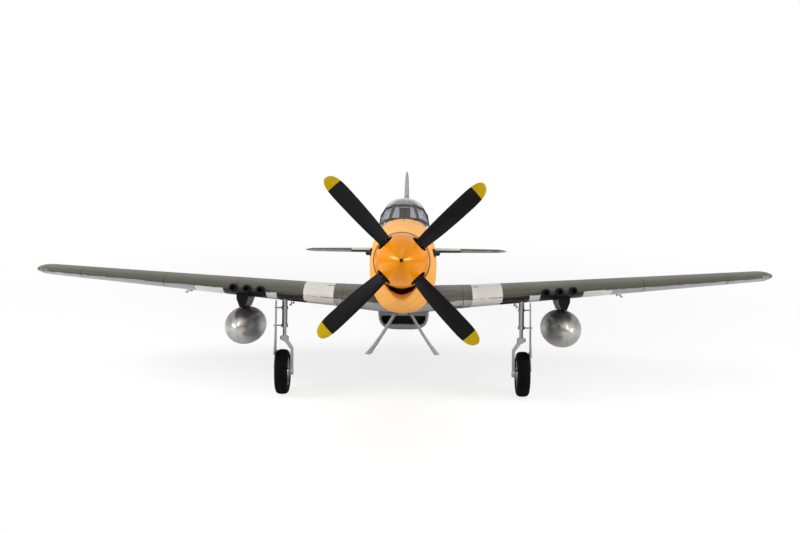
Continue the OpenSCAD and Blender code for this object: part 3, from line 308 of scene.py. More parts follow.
def foamPaint(name, look, scheme):
    # satin paint over moulded foam: fine beads, dark panel grooves, uneven grime in tone and sheen
    material, tree = newMaterial(name)
    mm = aircraftSpace(tree)
    base, seams = scheme(tree, mm)
    grime = addNode(tree, "TexNoise", {"Vector": mm, "Scale": 1 / look["grimeSize"], "Detail": 6.0,
                                       "Roughness": 0.62})
    shade = addNode(tree, "MapRange", {"Value": grime, "From Min": 0.3, "From Max": 0.7,
                                       "To Min": 1 - look["grime"], "To Max": 1.0})
    worn = addNode(tree, "Mix", {0: 1.0, 6: base, 7: shade}, out=2, data_type="RGBA", blend_type="MULTIPLY")
    deep = addNode(tree, "Math", {0: seams, 1: look["lineDepth"]}, operation="MULTIPLY")
    lined = addNode(tree, "Mix", {0: deep, 6: worn, 7: colour(look["line"])}, out=2, data_type="RGBA")
    beads = addNode(tree, "TexVoronoi", {"Vector": mm, "Scale": 1 / look["bead"]}, feature="SMOOTH_F1")
    sunk = addNode(tree, "Math", {0: seams, 1: look["sink"], 2: beads}, operation="MULTIPLY_ADD")
    bump = addNode(tree, "Bump", {"Strength": look["bump"], "Distance": look["relief"], "Height": sunk})
    sheen = addNode(tree, "MapRange", {"Value": grime, "To Min": look["roughness"] + look["uneven"],
                                       "To Max": look["roughness"] - look["uneven"]})
    surface(tree, Base_Color=lined, Roughness=sheen, Specular_IOR_Level=look["gloss"], Normal=bump)
    return material


# Paint schemes: where each colour of the finish lies on the aircraft

paints = {"olive": "#4b4a3f", "silver": "#a0a2a4", "white": "#dddcd8", "black": "#111213",
          "yellow": "#f3a93c", "rust": "#664833", "bay": "#d9691f"}
# sizes in mm, except the relief in metres; beads are drawn coarser than real ones so that they show
skinLook = {"grimeSize": 85, "grime": 0.22, "line": "#22221f", "lineDepth": 0.8, "bead": 3.6, "bump": 0.16,
            "roughness": 0.46, "uneven": 0.08, "gloss": 0.3, "sink": -1.6, "relief": 0.0004}
wingScheme = {"reach": 760, "upper": [(0, "olive"), (136, "white"), (193, "olive")],
              "lower": [(0, "silver"), (136, "white"), (193, "black"), (248, "white"), (270, "black"),
                        (356, "white"), (411, "silver")],
              "span": [118, 330, 476, 643, 719], "chord": [13, 36, 61], "edge": -2.2}
edgeWear = {"fray": 5, "drift": 1.2, "lift": 0.25, "chordEnd": 3.0, "below": 0.4, "width": 0.9,
            "chipSize": 26, "chips": (0.44, 0.54), "spanLine": 1.3, "chordLine": 0.3}
tailScheme = {"reach": 300, "upper": [(0, "white"), (143, "olive")], "lower": [(0, "black"), (143, "silver")],
              "span": [143, 205], "chord": [22], "edge": 0.0}


def bandedScheme(plan):
    # colours by span on the two faces, parted just under the leading edge by a broken worn line
    def scheme(tree, mm):
        skin = addNode(tree, "Attribute", out="Vector", attribute_name="skin")
        span, chord, rise = addNode(tree, "SeparateXYZ", {0: skin}, out=None).outputs
        fray = addNode(tree, "TexNoise", {"Vector": mm, "Scale": 1 / edgeWear["fray"], "Detail": 3.0})
        drift = addNode(tree, "MapRange", {"Value": fray, "To Min": -edgeWear["drift"],
                                           "To Max": edgeWear["drift"]})
        reach = addNode(tree, "Math", {0: span, 1: drift}, operation="ADD")
        faces = [bandRamp(tree, reach, plan["reach"], [(at, paints[key]) for at, key in plan[side]])
                 for side in ("lower", "upper")]
        height = addNode(tree, "Math", {0: drift, 1: edgeWear["lift"], 2: rise}, operation="MULTIPLY_ADD")
        side = addNode(tree, "Math", {0: height, 1: plan["edge"]}, operation="GREATER_THAN")
        base = addNode(tree, "Mix", {0: side, 6: faces[0], 7: faces[1]}, out=2, data_type="RGBA")
        near = addNode(tree, "Math", {0: chord, 1: edgeWear["chordEnd"]}, operation="LESS_THAN")
        edge = lineMask(tree, height, [plan["edge"] - edgeWear["below"]], edgeWear["width"])
        breaks = addNode(tree, "TexNoise", {"Vector": mm, "Scale": 1 / edgeWear["chipSize"], "Detail": 4.0})
        chips = addNode(tree, "MapRange", {"Value": breaks, "From Min": edgeWear["chips"][0],
                                           "From Max": edgeWear["chips"][1]})
        worn = addNode(tree, "Math", {0: near, 1: edge}, operation="MULTIPLY")
        worn = addNode(tree, "Math", {0: worn, 1: chips}, operation="MULTIPLY")
        base = addNode(tree, "Mix", {0: worn, 6: base, 7: colour(paints["rust"])}, out=2, data_type="RGBA")
        ribs = lineMask(tree, span, plan["span"], edgeWear["spanLine"])
        spars = lineMask(tree, chord, plan["chord"], edgeWear["chordLine"])
        return base, addNode(tree, "Math", {0: ribs, 1: spars}, operation="MAXIMUM")
    return scheme


bodyPlan = {"noseEnd": 318.0, "sweepFrom": -40.0, "sweep": 1.5, "waveSize": 150, "wave": 16.0,
            "parting": (4.0, 9.0), "rings": [98, 150, 240, 318, 452, 700, 792, 905, 1010, 1120], "ring": 0.9,
            "grooveX": 1.0, "grooveY": (385.0, 40.0), "grooveAbove": 40.0, "groove": 1.2}
cowlPlan = {"rings": [97, 152, 241], "ring": 0.9}
silverPlan = {"dull": "#9fa1a3", "bright": "#b6b8b9", "patch": 40, "line": 0.8,
              "lines": [560, 640, 735, 1150, 1190, 1262]}


def bodyScheme(tree, mm):
    # yellow nose swept up to the windscreen, olive above and bare silver below behind it
    x, y, z = addNode(tree, "SeparateXYZ", {0: mm}, out=None).outputs
    plan = bodyPlan
    sweep = addNode(tree, "Math", {0: z, 1: plan["sweepFrom"]}, operation="SUBTRACT")
    sweep = addNode(tree, "Math", {0: sweep, 1: 0.0}, operation="MAXIMUM")
    limit = addNode(tree, "Math", {0: sweep, 1: plan["sweep"], 2: plan["noseEnd"]}, operation="MULTIPLY_ADD")
    nose = addNode(tree, "Math", {0: y, 1: limit}, operation="LESS_THAN")
    wave = addNode(tree, "TexNoise", {"Vector": mm, "Scale": 1 / plan["waveSize"], "Detail": 0.0})
    drift = addNode(tree, "MapRange", {"Value": wave, "To Min": -plan["wave"], "To Max": plan["wave"]})
    height = addNode(tree, "Math", {0: z, 1: drift}, operation="ADD")
    top = addNode(tree, "MapRange", {"Value": height, "From Min": plan["parting"][0],
                                     "From Max": plan["parting"][1]})
    base = addNode(tree, "Mix", {0: top, 6: colour(paints["silver"]), 7: colour(paints["olive"])}, out=2,
                   data_type="RGBA")
    base = addNode(tree, "Mix", {0: nose, 6: base, 7: colour(paints["yellow"])}, out=2, data_type="RGBA")
    rings = lineMask(tree, y, plan["rings"], plan["ring"])
    # one short groove along the top of the deck ahead of the windscreen
    middle, reach = plan["grooveY"]
    ahead = addNode(tree, "Math", {0: y, 1: middle, 2: reach}, operation="COMPARE")
    above = addNode(tree, "Math", {0: z, 1: plan["grooveAbove"]}, operation="GREATER_THAN")
    groove = lineMask(tree, x, [plan["grooveX"]], plan["groove"])
    groove = addNode(tree, "Math", {0: groove, 1: ahead}, operation="MULTIPLY")
    groove = addNode(tree, "Math", {0: groove, 1: above}, operation="MULTIPLY")
    return base, addNode(tree, "Math", {0: rings, 1: groove}, operation="MAXIMUM")


def cowlScheme(tree, mm):
    # plain yellow outside with fine ring lines; a darker, redder orange where the wall faces in
    y = addNode(tree, "SeparateXYZ", {0: mm}, out=None).outputs[1]
    inside = addNode(tree, "Attribute", out="Fac", attribute_name="inside")
    base = addNode(tree, "Mix", {0: inside, 6: colour(paints["yellow"]), 7: colour(paints["bay"])}, out=2,
                   data_type="RGBA")
    return base, lineMask(tree, y, cowlPlan["rings"], cowlPlan["ring"])


def silverScheme(tree, mm):
    # bare silver all over with a few panel lines along the body
    y = addNode(tree, "SeparateXYZ", {0: mm}, out=None).outputs[1]
    fade = addNode(tree, "TexNoise", {"Vector": mm, "Scale": 1 / silverPlan["patch"], "Detail": 2.0})
    dull = colour(silverPlan["dull"])
    bright = colour(silverPlan["bright"])
    base = addNode(tree, "Mix", {0: fade, 6: dull, 7: bright}, out=2, data_type="RGBA")
    return base, lineMask(tree, y, silverPlan["lines"], silverPlan["line"])


wingPaint = foamPaint("satin banded paint on foam", skinLook, bandedScheme(wingScheme))
tailPaint = foamPaint("satin tail paint on foam", skinLook, bandedScheme(tailScheme))
bodyPaint = foamPaint("satin body paint on foam", skinLook, bodyScheme)
cowlPaint = foamPaint("matt yellow cowl paint", {**skinLook, "grime": 0.12, "line": "#7a5526"}, cowlScheme)
silverPaint = foamPaint("satin silver paint on foam", skinLook, silverScheme)


grainRelief = 0.0003  # metres


def plainFinish(name, look):
    # one finish with fine mottling, wear in its sheen and a fine surface grain, which may be stretched;
    # grain and wear sizes are in mm, the finest of them coarser than real so that they show
    material, tree = newMaterial(name)
    mm = aircraftSpace(tree)
    drawn = addNode(tree, "Mapping", {"Vector": mm, "Scale": look.get("stretch", (1, 1, 1))})
    grain = addNode(tree, "TexNoise", {"Vector": drawn, "Scale": 1 / look["grain"], "Detail": 4.0,
                                       "Roughness": 0.6})
    wear = addNode(tree, "TexNoise", {"Vector": mm, "Scale": 1 / look["wearSize"], "Detail": 5.0})
    base = addNode(tree, "Mix", {0: wear, 6: colour(look["dark"]), 7: colour(look["light"])}, out=2,
                   data_type="RGBA")
    low, high = look["roughness"]
    sheen = addNode(tree, "MapRange", {"Value": wear, "From Min": 0.3, "From Max": 0.7, "To Min": low,
                                       "To Max": high})
    bump = addNode(tree, "Bump", {"Strength": look["bump"], "Distance": grainRelief, "Height": grain})
    surface(tree, Base_Color=base, Roughness=sheen, Metallic=look.get("metal", 0.0), Normal=bump,
            Specular_IOR_Level=look.get("gloss", 0.5), Specular_Tint=colour(look.get("tint", "#ffffff")))
    return material


# glossy orange over moulded plastic, bright soft highlights
spinnerPaint = plainFinish("gloss orange spinner paint", {
    "dark": "#dc8300", "light": "#e68d00", "grain": 2.2, "wearSize": 60, "roughness": (0.16, 0.22),
    "bump": 0.02, "gloss": 0.34, "tint": "#ffbe46"})
# metallic silver lacquer, softly mirrored and slightly grey
tankPaint = plainFinish("metallic silver tank paint", {
    "dark": "#a4a3a0", "light": "#b6b4b1", "grain": 0.8, "wearSize": 40, "roughness": (0.26, 0.36),
    "bump": 0.05, "metal": 0.95})
# machined aluminium with fine tool lines
alloy = plainFinish("machined aluminium", {
    "dark": "#8d8f91", "light": "#adafb0", "grain": 0.35, "wearSize": 14, "roughness": (0.24, 0.38),
    "bump": 0.08, "metal": 1.0, "stretch": (1, 1, 0.12)})
# plain steel wire and screws, darker than the alloy
steel = plainFinish("bright steel", {
    "dark": "#7d7f82", "light": "#98999b", "grain": 0.3, "wearSize": 9, "roughness": (0.22, 0.34),
    "bump": 0.05, "metal": 1.0})
# blackened steel of the propeller hub, its backplate and its screw, a dull dark metal
blackSteel = plainFinish("blackened steel", {
    "dark": "#1f1e1d", "light": "#302e2c", "grain": 0.3, "wearSize": 6, "roughness": (0.3, 0.42),
    "bump": 0.05, "metal": 1.0})
# soft moulded black rubber, dull and uneven in its sheen
rubber = plainFinish("black tyre rubber", {
    "dark": "#040404", "light": "#0a0909", "grain": 0.5, "wearSize": 12, "roughness": (0.55, 0.75),
    "bump": 0.25, "gloss": 0.06})
# moulded black plastic with a fine spark-eroded grain
blackPlastic = plainFinish("black moulded plastic", {
    "dark": "#080809", "light": "#111112", "grain": 0.4, "wearSize": 18, "roughness": (0.36, 0.5),
    "bump": 0.12, "gloss": 0.14})
# dark green-grey paint of the windscreen frame
framePaint = plainFinish("dark olive frame paint", {
    "dark": "#25281f", "light": "#33362b", "grain": 0.6, "wearSize": 20, "roughness": (0.42, 0.56),
    "bump": 0.08, "gloss": 0.3})
# shrink sleeve round the battery, glossy with long ripples
batteryWrap = plainFinish("blue battery sleeve", {
    "dark": "#1c2f57", "light": "#27407a", "grain": 6, "wearSize": 30, "roughness": (0.2, 0.34),
    "bump": 0.2})
# dark moulded servo plastic, half gloss
servoCase = plainFinish("dark servo case plastic", {
    "dark": "#17181b", "light": "#24262a", "grain": 0.4, "wearSize": 12, "roughness": (0.3, 0.44),
    "bump": 0.08})
# wound carbon with lines along the tube
carbon = plainFinish("carbon tube", {
    "dark": "#0f1011", "light": "#2b2d30", "grain": 0.5, "wearSize": 2.5, "roughness": (0.2, 0.32),
    "bump": 0.1, "stretch": (0.1, 1, 1)})
# milky white nylon, half matt
whiteNylon = plainFinish("white nylon", {
    "dark": "#d3d2cc", "light": "#e6e5e0", "grain": 0.5, "wearSize": 10, "roughness": (0.36, 0.5),
    "bump": 0.06})


bladeLook = {"dark": "#050506", "light": "#0c0c0d", "tip": "#d2b00a", "tipFrom": (170.6, 171.4), "scuff": 22,
             "roughness": (0.3, 0.5), "gloss": 0.16}
glazingLook = {"thick": "#eceaf2", "thin": "#f3f1f8", "haze": 35, "roughness": 0.03, "ior": 1.15}


def bladeFinish():
    # satin black nylon with painted yellow tips
    material, tree = newMaterial("satin black blade nylon")
    mm = aircraftSpace(tree)
    look = bladeLook
    flat = addNode(tree, "VectorMath", {0: mm, 1: (1, 0, 1)}, operation="MULTIPLY")
    reach = addNode(tree, "VectorMath", {0: flat}, out="Value", operation="LENGTH")
    tip = addNode(tree, "MapRange", {"Value": reach, "From Min": look["tipFrom"][0],
                                     "From Max": look["tipFrom"][1]})
    scuff = addNode(tree, "TexNoise", {"Vector": mm, "Scale": 1 / look["scuff"], "Detail": 6.0})
    black = addNode(tree, "Mix", {0: scuff, 6: colour(look["dark"]), 7: colour(look["light"])}, out=2,
                    data_type="RGBA")
    base = addNode(tree, "Mix", {0: tip, 6: black, 7: colour(look["tip"])}, out=2, data_type="RGBA")
    sheen = addNode(tree, "MapRange", {"Value": scuff, "To Min": look["roughness"][0],
                                       "To Max": look["roughness"][1]})
    surface(tree, Base_Color=base, Roughness=sheen, Specular_IOR_Level=look["gloss"])
    return material


def glazingFinish():
    # thin smoky clear plastic, its tint a little uneven; a low IOR keeps the thin shell from bending the view
    material, tree = newMaterial("smoky clear glazing")
    mm = aircraftSpace(tree)
    look = glazingLook
    haze = addNode(tree, "TexNoise", {"Vector": mm, "Scale": 1 / look["haze"], "Detail": 3.0})
    tint = addNode(tree, "Mix", {0: haze, 6: colour(look["thick"]), 7: colour(look["thin"])}, out=2,
                   data_type="RGBA")
    surface(tree, Base_Color=tint, Roughness=look["roughness"], Transmission_Weight=1.0, IOR=look["ior"])
    return material


bladeNylon = bladeFinish()
glazing = glazingFinish()
slotFinish = {"machined_alloy": alloy, "steel": steel, "black_plastic": blackPlastic, "tyre_rubber": rubber,
              "silver_foam": silverPaint, "frame_paint": framePaint, "battery_wrap": batteryWrap,
              "servo_case": servoCase, "carbon_tube": carbon, "white_nylon": whiteNylon}
print("materials made")


# Wings, ailerons and flaps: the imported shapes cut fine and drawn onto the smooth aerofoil

wingShape = {"half": 750, "rootFront": 352, "rootChord": 351, "tipChord": 169, "tipRound": 38,
             "strake": 26, "strakeStart": 62, "strakeLength": 88, "level": -82, "rise": 0.081,
             "thickness": (0.15, 0.12), "twist": -0.0175, "camber": 0.015, "step": 8, "chordSteps": 40,
             "tipFront": 397, "tipSweep": (0.45, 0.2), "tipLeast": 0.2, "tipThin": 0.7}
# mm from the formula within which a packed corner is drawn onto it, more at the nose of the foil
skinReach = {"near": 0.9, "noseNear": 3.2, "nose": 0.035, "paintNose": 0.12, "hidden": -8}


def wingEdges(x):
    # straight edges from root to tip, a strake at the root and an elliptic round at the tip
    w = wingShape
    past = np.clip((x - w["half"] + w["tipRound"]) / w["tipRound"], 0, 1)
    tip = np.maximum(w["tipLeast"], np.sqrt(1 - past ** 2))
    front = w["rootFront"] + (w["tipFront"] - w["rootFront"]) * x / w["half"]
    rootRear = w["rootFront"] + w["rootChord"]
    rear = rootRear + (w["tipFront"] + w["tipChord"] - rootRear) * x / w["half"]
    front = front - w["strake"] * (1 - smoothStep((x - w["strakeStart"]) / w["strakeLength"]))
    ahead, behind = w["tipSweep"]
    return front + (1 - tip) * ahead * w["tipChord"], rear - (1 - tip) * behind * w["tipChord"], tip


def wingFoil(points):
    # chord fraction, mean line height and half thickness of the wing at each point
    x = np.clip(points[:, 0], 0, wingShape["half"])
    front, rear, tip = wingEdges(x)
    length = rear - front
    c = np.clip((points[:, 1] - front) / length, 0, 1)
    root, end = wingShape["thickness"]
    ratio = (root + (end - root) * x / wingShape["half"]) * tip ** wingShape["tipThin"]
    half = ratio * foilHalf(c) * length
    level = wingShape["level"] + wingShape["rise"] * x
    mean = level + wingShape["twist"] * c * length + 4 * wingShape["camber"] * c * (1 - c) * length
    return c, mean, half


def ontoFoil(points, foil, axis):
    # moves points near the two faces onto them and gives the chord and height for the paint
    c, mean, half = foil(points)
    height = points[:, axis] - mean
    reach = skinReach["near"] + skinReach["noseNear"] * np.clip(1 - c / skinReach["nose"], 0, 1)
    onSkin = np.abs(np.abs(height) - half) < reach
    height = np.where(onSkin, np.where(height < 0, -half, half), height)
    moved = points.copy()
    moved[:, axis] = mean + height
    rise = np.where(onSkin | (c < skinReach["paintNose"]), height, skinReach["hidden"])
    return moved, np.stack([np.abs(points[:, 0]), c * 100, rise], -1)


def addSkin(obj, values):
    # span, chord percent and rise above the mean line, for the paint
    obj.data.attributes.new("skin", "FLOAT_VECTOR", "POINT").data.foreach_set("vector", values.ravel())


def chordAngle(foil):
    # cosine spacing along the chord, close at the nose and the tail
    return lambda points: np.arccos(1 - 2 * foil(points)[0])


chordLevels = np.pi * np.arange(1, wingShape["chordSteps"]) / wingShape["chordSteps"]
spanCuts = np.arange(wingShape["step"], wingShape["half"], wingShape["step"])
wingCuts = [(lambda p: p[:, 0], spanCuts), (chordAngle(wingFoil), chordLevels)]
for side in ("left", "right"):
    mirror = cadTriangles(side + "_wing")[0][:, 0].mean() < 0
    for part in ("wing", "aileron", "flap"):
        node = side + "_" + part
        points, tris = refined(node, wingCuts, mirror)
        points, skin = ontoFoil(points, wingFoil, 2)
        if mirror:
            points = points * [-1, 1, 1]
            tris = tris[:, ::-1]
        obj = addMesh(node + "_skin", points, tris.tolist())
        addSkin(obj, skin)
        finish(obj, node, wingPaint)
print("wings made")

# Tail surfaces

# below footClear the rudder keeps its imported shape, so that it swings clear of the body
tailShape = {"half": 267, "front": (1075, 1112), "rear": (1225, 1215), "tipRound": 30, "tipFront": 44,
             "tipRear": 20, "tipLeast": 0.2, "tipThin": 0.7, "thickness": (0.1, 0.085), "level": 33,
             "spanCuts": (-264, 265, 8), "heightCuts": (-10, 246, 8), "footClear": 60,
             "fin": [[-14, 1090, 1276, 0.075], [2, 1086, 1294, 0.085], [25, 1084, 1306, 0.088],
                     [52, 1084, 1307, 0.09], [90, 1104, 1305, 0.09], [140, 1130, 1302, 0.09],
                     [190, 1156, 1298, 0.088], [220, 1173, 1294, 0.086], [235, 1183, 1290, 0.078],
                     [244, 1193, 1282, 0.06], [248, 1203, 1270, 0.04]]}


def stabFoil(points):
    # the same three values for the tailplane
    t = tailShape
    x = np.clip(np.abs(points[:, 0]), 0, t["half"])
    past = np.clip((x - t["half"] + t["tipRound"]) / t["tipRound"], 0, 1)
    tip = np.maximum(t["tipLeast"], np.sqrt(1 - past ** 2))
    share = x / t["half"]
    front = t["front"][0] + (t["front"][1] - t["front"][0]) * share + (1 - tip) * t["tipFront"]
    rear = t["rear"][0] + (t["rear"][1] - t["rear"][0]) * share - (1 - tip) * t["tipRear"]
    c = np.clip((points[:, 1] - front) / (rear - front), 0, 1)
    ratio = (t["thickness"][0] + (t["thickness"][1] - t["thickness"][0]) * share) * tip ** t["tipThin"]
    return c, np.full_like(c, t["level"]), ratio * foilHalf(c) * (rear - front)


def finFoil(points):
    # and for the fin, its edges and thickness read from the rows by height
    rows = np.array(tailShape["fin"])
    front, rear, ratio = [np.interp(points[:, 2], rows[:, 0], rows[:, k]) for k in (1, 2, 3)]
    c = np.clip((points[:, 1] - front) / (rear - front), 0, 1)
    return c, np.zeros_like(c), ratio * foilHalf(c) * (rear - front)


stabCuts = [(lambda p: p[:, 0], np.arange(*tailShape["spanCuts"])), (chordAngle(stabFoil), chordLevels)]
finCuts = [(lambda p: p[:, 2], np.arange(*tailShape["heightCuts"])), (lambda p: p[:, 0], [0.0]),
           (chordAngle(finFoil), chordLevels)]
for node, cuts, foil, axis, paint in (("tailplane", stabCuts, stabFoil, 2, tailPaint),
                                      ("elevator", stabCuts, stabFoil, 2, tailPaint),
                                      ("tail_fin", finCuts, finFoil, 0, silverPaint),
                                      ("rudder", finCuts, finFoil, 0, silverPaint)):
    points, tris = refined(node, cuts)
    moved, skin = ontoFoil(points, foil, axis)
    swings = (node == "rudder") & (points[:, 2] < tailShape["footClear"])
    obj = addMesh(node + "_skin", np.where(swings[:, None], points, moved), tris.tolist())
    addSkin(obj, skin)
    finish(obj, node, paint)
print("tail made")

# Body: the fuselage, cowl and hatch deck drawn onto one smooth section formula

# each row: station, half width, top, bottom, middle, upper and lower power, chin bulge;
# lastCell keeps a look-up inside the fine table of radii;
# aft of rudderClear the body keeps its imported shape, so that the rudder swings clear
bodyShape = {"rows": [[88, 49.5, 49.5, -68, 0, 2, 2, 17], [140, 54.5, 57, -80, -1, 2.05, 2.1, 12],
                      [200, 58.5, 64, -89, -3, 2.15, 2.25, 6], [300, 63.5, 74, -98, -6, 2.25, 2.4, 0],
                      [345, 65, 78.5, -100.5, -8, 2.3, 2.4, 0], [430, 66, 86, -96, -10, 2.4, 2.4, 0],
                      [520, 66, 80, -93, -12, 2.6, 2.4, 0], [600, 64, 80, -93, -12, 2.6, 2.3, 0],
                      [690, 60, 88, -92, -8, 2.3, 2.2, 0], [800, 53, 78, -88, -4, 2.1, 2.1, 0],
                      [900, 44, 69, -75, 2, 2.05, 2.05, 0], [1000, 34, 62, -59, 8, 2, 2, 0],
                      [1100, 24, 56, -39, 14, 2, 2, 0], [1200, 12, 50, -17, 18, 2, 2, 0],
                      [1262, 5, 46, -6, 20, 2, 2, 0]],
             "first": 84.0, "step": 2.0, "count": 590, "angles": 361, "lastCell": 1.001, "chinHalf": 0.7,
             "cuts": (92, 1262, 7.0), "turnCuts": (-85.5, 90, 4.5), "near": 0.9, "wall": 1.3,
             "rudderClear": 1195}


def bodyRadii():
    # radius of the section about its own middle, by station and by polar angle: a superellipse whose
    # upper and lower powers differ, with a chin bulge below
    y = bodyShape["first"] + bodyShape["step"] * np.arange(bodyShape["count"])
    half, top, low, mid, upper, lower, chin = [v[:, None] for v in tableAt(bodyShape["rows"], y)]
    a = np.linspace(-np.pi / 2, np.pi / 2, bodyShape["angles"])[None, :]
    c = np.abs(np.cos(a))
    s = np.sin(a)
    e = 2 / np.where(s < 0, lower, upper)
    bump = np.where(c > bodyShape["chinHalf"], 0, (1 - (c / bodyShape["chinHalf"]) ** 2) ** 2)
    x = half * c ** e
    drop = (mid - low - chin) * np.abs(s) ** e + chin * bump
    z = np.where(s < 0, -drop, (top - mid) * np.abs(s) ** e)
    polar = np.arctan2(z, x)
    radius = np.hypot(x, z)
    return np.stack([np.interp(a[0], polar[k], radius[k]) for k in range(len(y))])


radii = bodyRadii()


def bodyPolar(points):
    # angle round the section's own middle, from straight down to straight up
    mid = tableAt(bodyShape["rows"], points[:, 1])[3]
    return np.arctan2(points[:, 2] - mid, np.abs(points[:, 0]))


def bodyReach(points):
    # the formula's radius at each point, by straight interpolation in the fine table
    g = bodyShape
    row = np.clip((points[:, 1] - g["first"]) / g["step"], 0, g["count"] - g["lastCell"])
    column = (bodyPolar(points) / np.pi + 0.5) * (g["angles"] - g["lastCell"])
    j = row.astype(int)
    i = column.astype(int)
    v = row - j
    u = column - i
    return ((radii[j, i] * (1 - u) + radii[j, i + 1] * u) * (1 - v)
            + (radii[j + 1, i] * (1 - u) + radii[j + 1, i + 1] * u) * v)


def ontoBody(points):
    # moves points near the section formula onto it, and tells which lie inside the wall
    mid = tableAt(bodyShape["rows"], points[:, 1])[3]
    fromMid = points[:, [0, 2]] - np.stack([np.zeros_like(mid), mid], -1)
    radius = np.maximum(np.linalg.norm(fromMid, axis=1), leastRadius)
    reach = bodyReach(points)
    drawn = (np.abs(radius - reach) < bodyShape["near"]) & (points[:, 1] < bodyShape["rudderClear"])
    scale = np.where(drawn, reach / radius, 1)
    moved = points.copy()
    moved[:, 0] = fromMid[:, 0] * scale
    moved[:, 2] = mid + fromMid[:, 1] * scale
    return moved, radius < reach - bodyShape["wall"]


# the lower lip of the chin intake
intakeLip = {"half": 20, "raise": 6.5, "front": 100, "fade": 60, "below": 50, "soft": 6}
bodyCuts = [(lambda p: p[:, 0], [0.0]), (lambda p: p[:, 1], np.arange(*bodyShape["cuts"])),
            (bodyPolar, np.radians(np.arange(*bodyShape["turnCuts"])))]
for node, paint in (("fuselage", bodyPaint), ("nose_cowl", cowlPaint), ("hatch_deck", bodyPaint)):
    points, tris = refined(node, bodyCuts)
    points, inside = ontoBody(points)
    if node == "nose_cowl":
        # the lower lip of the chin intake is thicker at its middle, which leaves a crescent
        across = np.clip(1 - (points[:, 0] / intakeLip["half"]) ** 2, 0, 1)
        ahead = 1 - smoothStep((points[:, 1] - intakeLip["front"]) / intakeLip["fade"])
        below = smoothStep((-intakeLip["below"] - points[:, 2]) / intakeLip["soft"])
        points[:, 2] += intakeLip["raise"] * inside * across * ahead * below
    obj = addMesh(node + "_skin", points, tris.tolist())
    obj.data.attributes.new("inside", "FLOAT", "POINT").data.foreach_set("value", inside.astype(np.float32))
    finish(obj, node, paint)
print("body made")

# Scoop: a squarish section, its corners a fourth-power superellipse

scoopShape = {"rows": [[490, 50, -134], [520, 53, -139], [570, 54, -145], [630, 52, -146], [690, 47, -138],
                       [750, 40, -124], [810, 30, -105], [855, 20, -90]],
              "middle": -92, "power": 4, "cuts": (492, 855, 6.0), "turnCuts": (-86, 1, 4.0), "near": 1.0,
              "core": 0.5}


def scoopPolar(points):
    # angle round the scoop's own middle, from straight down
    return np.arctan2(points[:, 2] - scoopShape["middle"], np.abs(points[:, 0]))


points, tris = refined("belly_scoop", [(lambda p: p[:, 0], [0.0]),
                                       (lambda p: p[:, 1], np.arange(*scoopShape["cuts"])),
                                       (scoopPolar, np.radians(np.arange(*scoopShape["turnCuts"])))])
middle = scoopShape["middle"]
power = scoopShape["power"]
scoopHalf, scoopLow = tableAt(scoopShape["rows"], points[:, 1])
drop = np.minimum(points[:, 2] - middle, 0)
share = ((points[:, 0] / scoopHalf) ** power + (drop / (middle - scoopLow)) ** power) ** (1 / power)
near = (np.abs(share - 1) * scoopHalf < scoopShape["near"]) & (share > scoopShape["core"])
points[near, 0] = points[near, 0] / share[near]
points[near, 2] = np.where(drop[near] < 0, middle + drop[near] / share[near], points[near, 2])
finish(addMesh("belly_scoop_skin", points, tris.tolist()), "belly_scoop", silverPaint)

# Spinner: turned, its radius rising as a power of a sine from the tip

spinnerShape = {"radius": 47.5, "length": 84, "power": 0.85, "cuts": (4, 84, 2.0), "turnCuts": (-87, 90, 3.0),
                "near": 1.2, "nose": 3}
points, tris = refined("spinner", [(lambda p: p[:, 1], np.arange(*spinnerShape["cuts"])),
                                   (lambda p: p[:, 0], [0.0]),
                                   (lambda p: np.arctan2(p[:, 2], np.abs(p[:, 0])),
                                    np.radians(np.arange(*spinnerShape["turnCuts"])))])
radius = np.hypot(points[:, 0], points[:, 2])
share = np.clip(points[:, 1] / spinnerShape["length"], 0, 1)
reach = spinnerShape["radius"] * np.sin(np.pi / 2 * share) ** spinnerShape["power"]
near = (np.abs(radius - reach) < spinnerShape["near"]) & (points[:, 1] > spinnerShape["nose"])
points[:, [0, 2]] *= np.where(near, reach / np.maximum(radius, leastRadius), 1)[:, None]
finish(addMesh("spinner_shell", points, tris.tolist()), "spinner", spinnerPaint)
print("scoop and spinner made")

# Propeller blades: a thin cambered section twisted by the pitch along each blade

bladeShape = {"rows": [[44, 0.8], [58, 0.84], [80, 0.92], [110, 0.98], [140, 1], [160, 0.99], [174, 0.9],
                       [183, 0.72], [188.5, 0.45], [190.9, 0.16]],
              "chord": 30.8, "pitch": 190, "upper": 1.25, "lower": 0.6, "edge": 0.12, "middle": 0.42,
              "thickness": (0.2, 0.09), "thinOver": 120, "bunch": 1.6, "along": 90, "around": 24,
              "count": 4, "turn": 46.6, "shank": 6.0, "shankAround": 32, "shankSpan": (9.0, 47.0)}


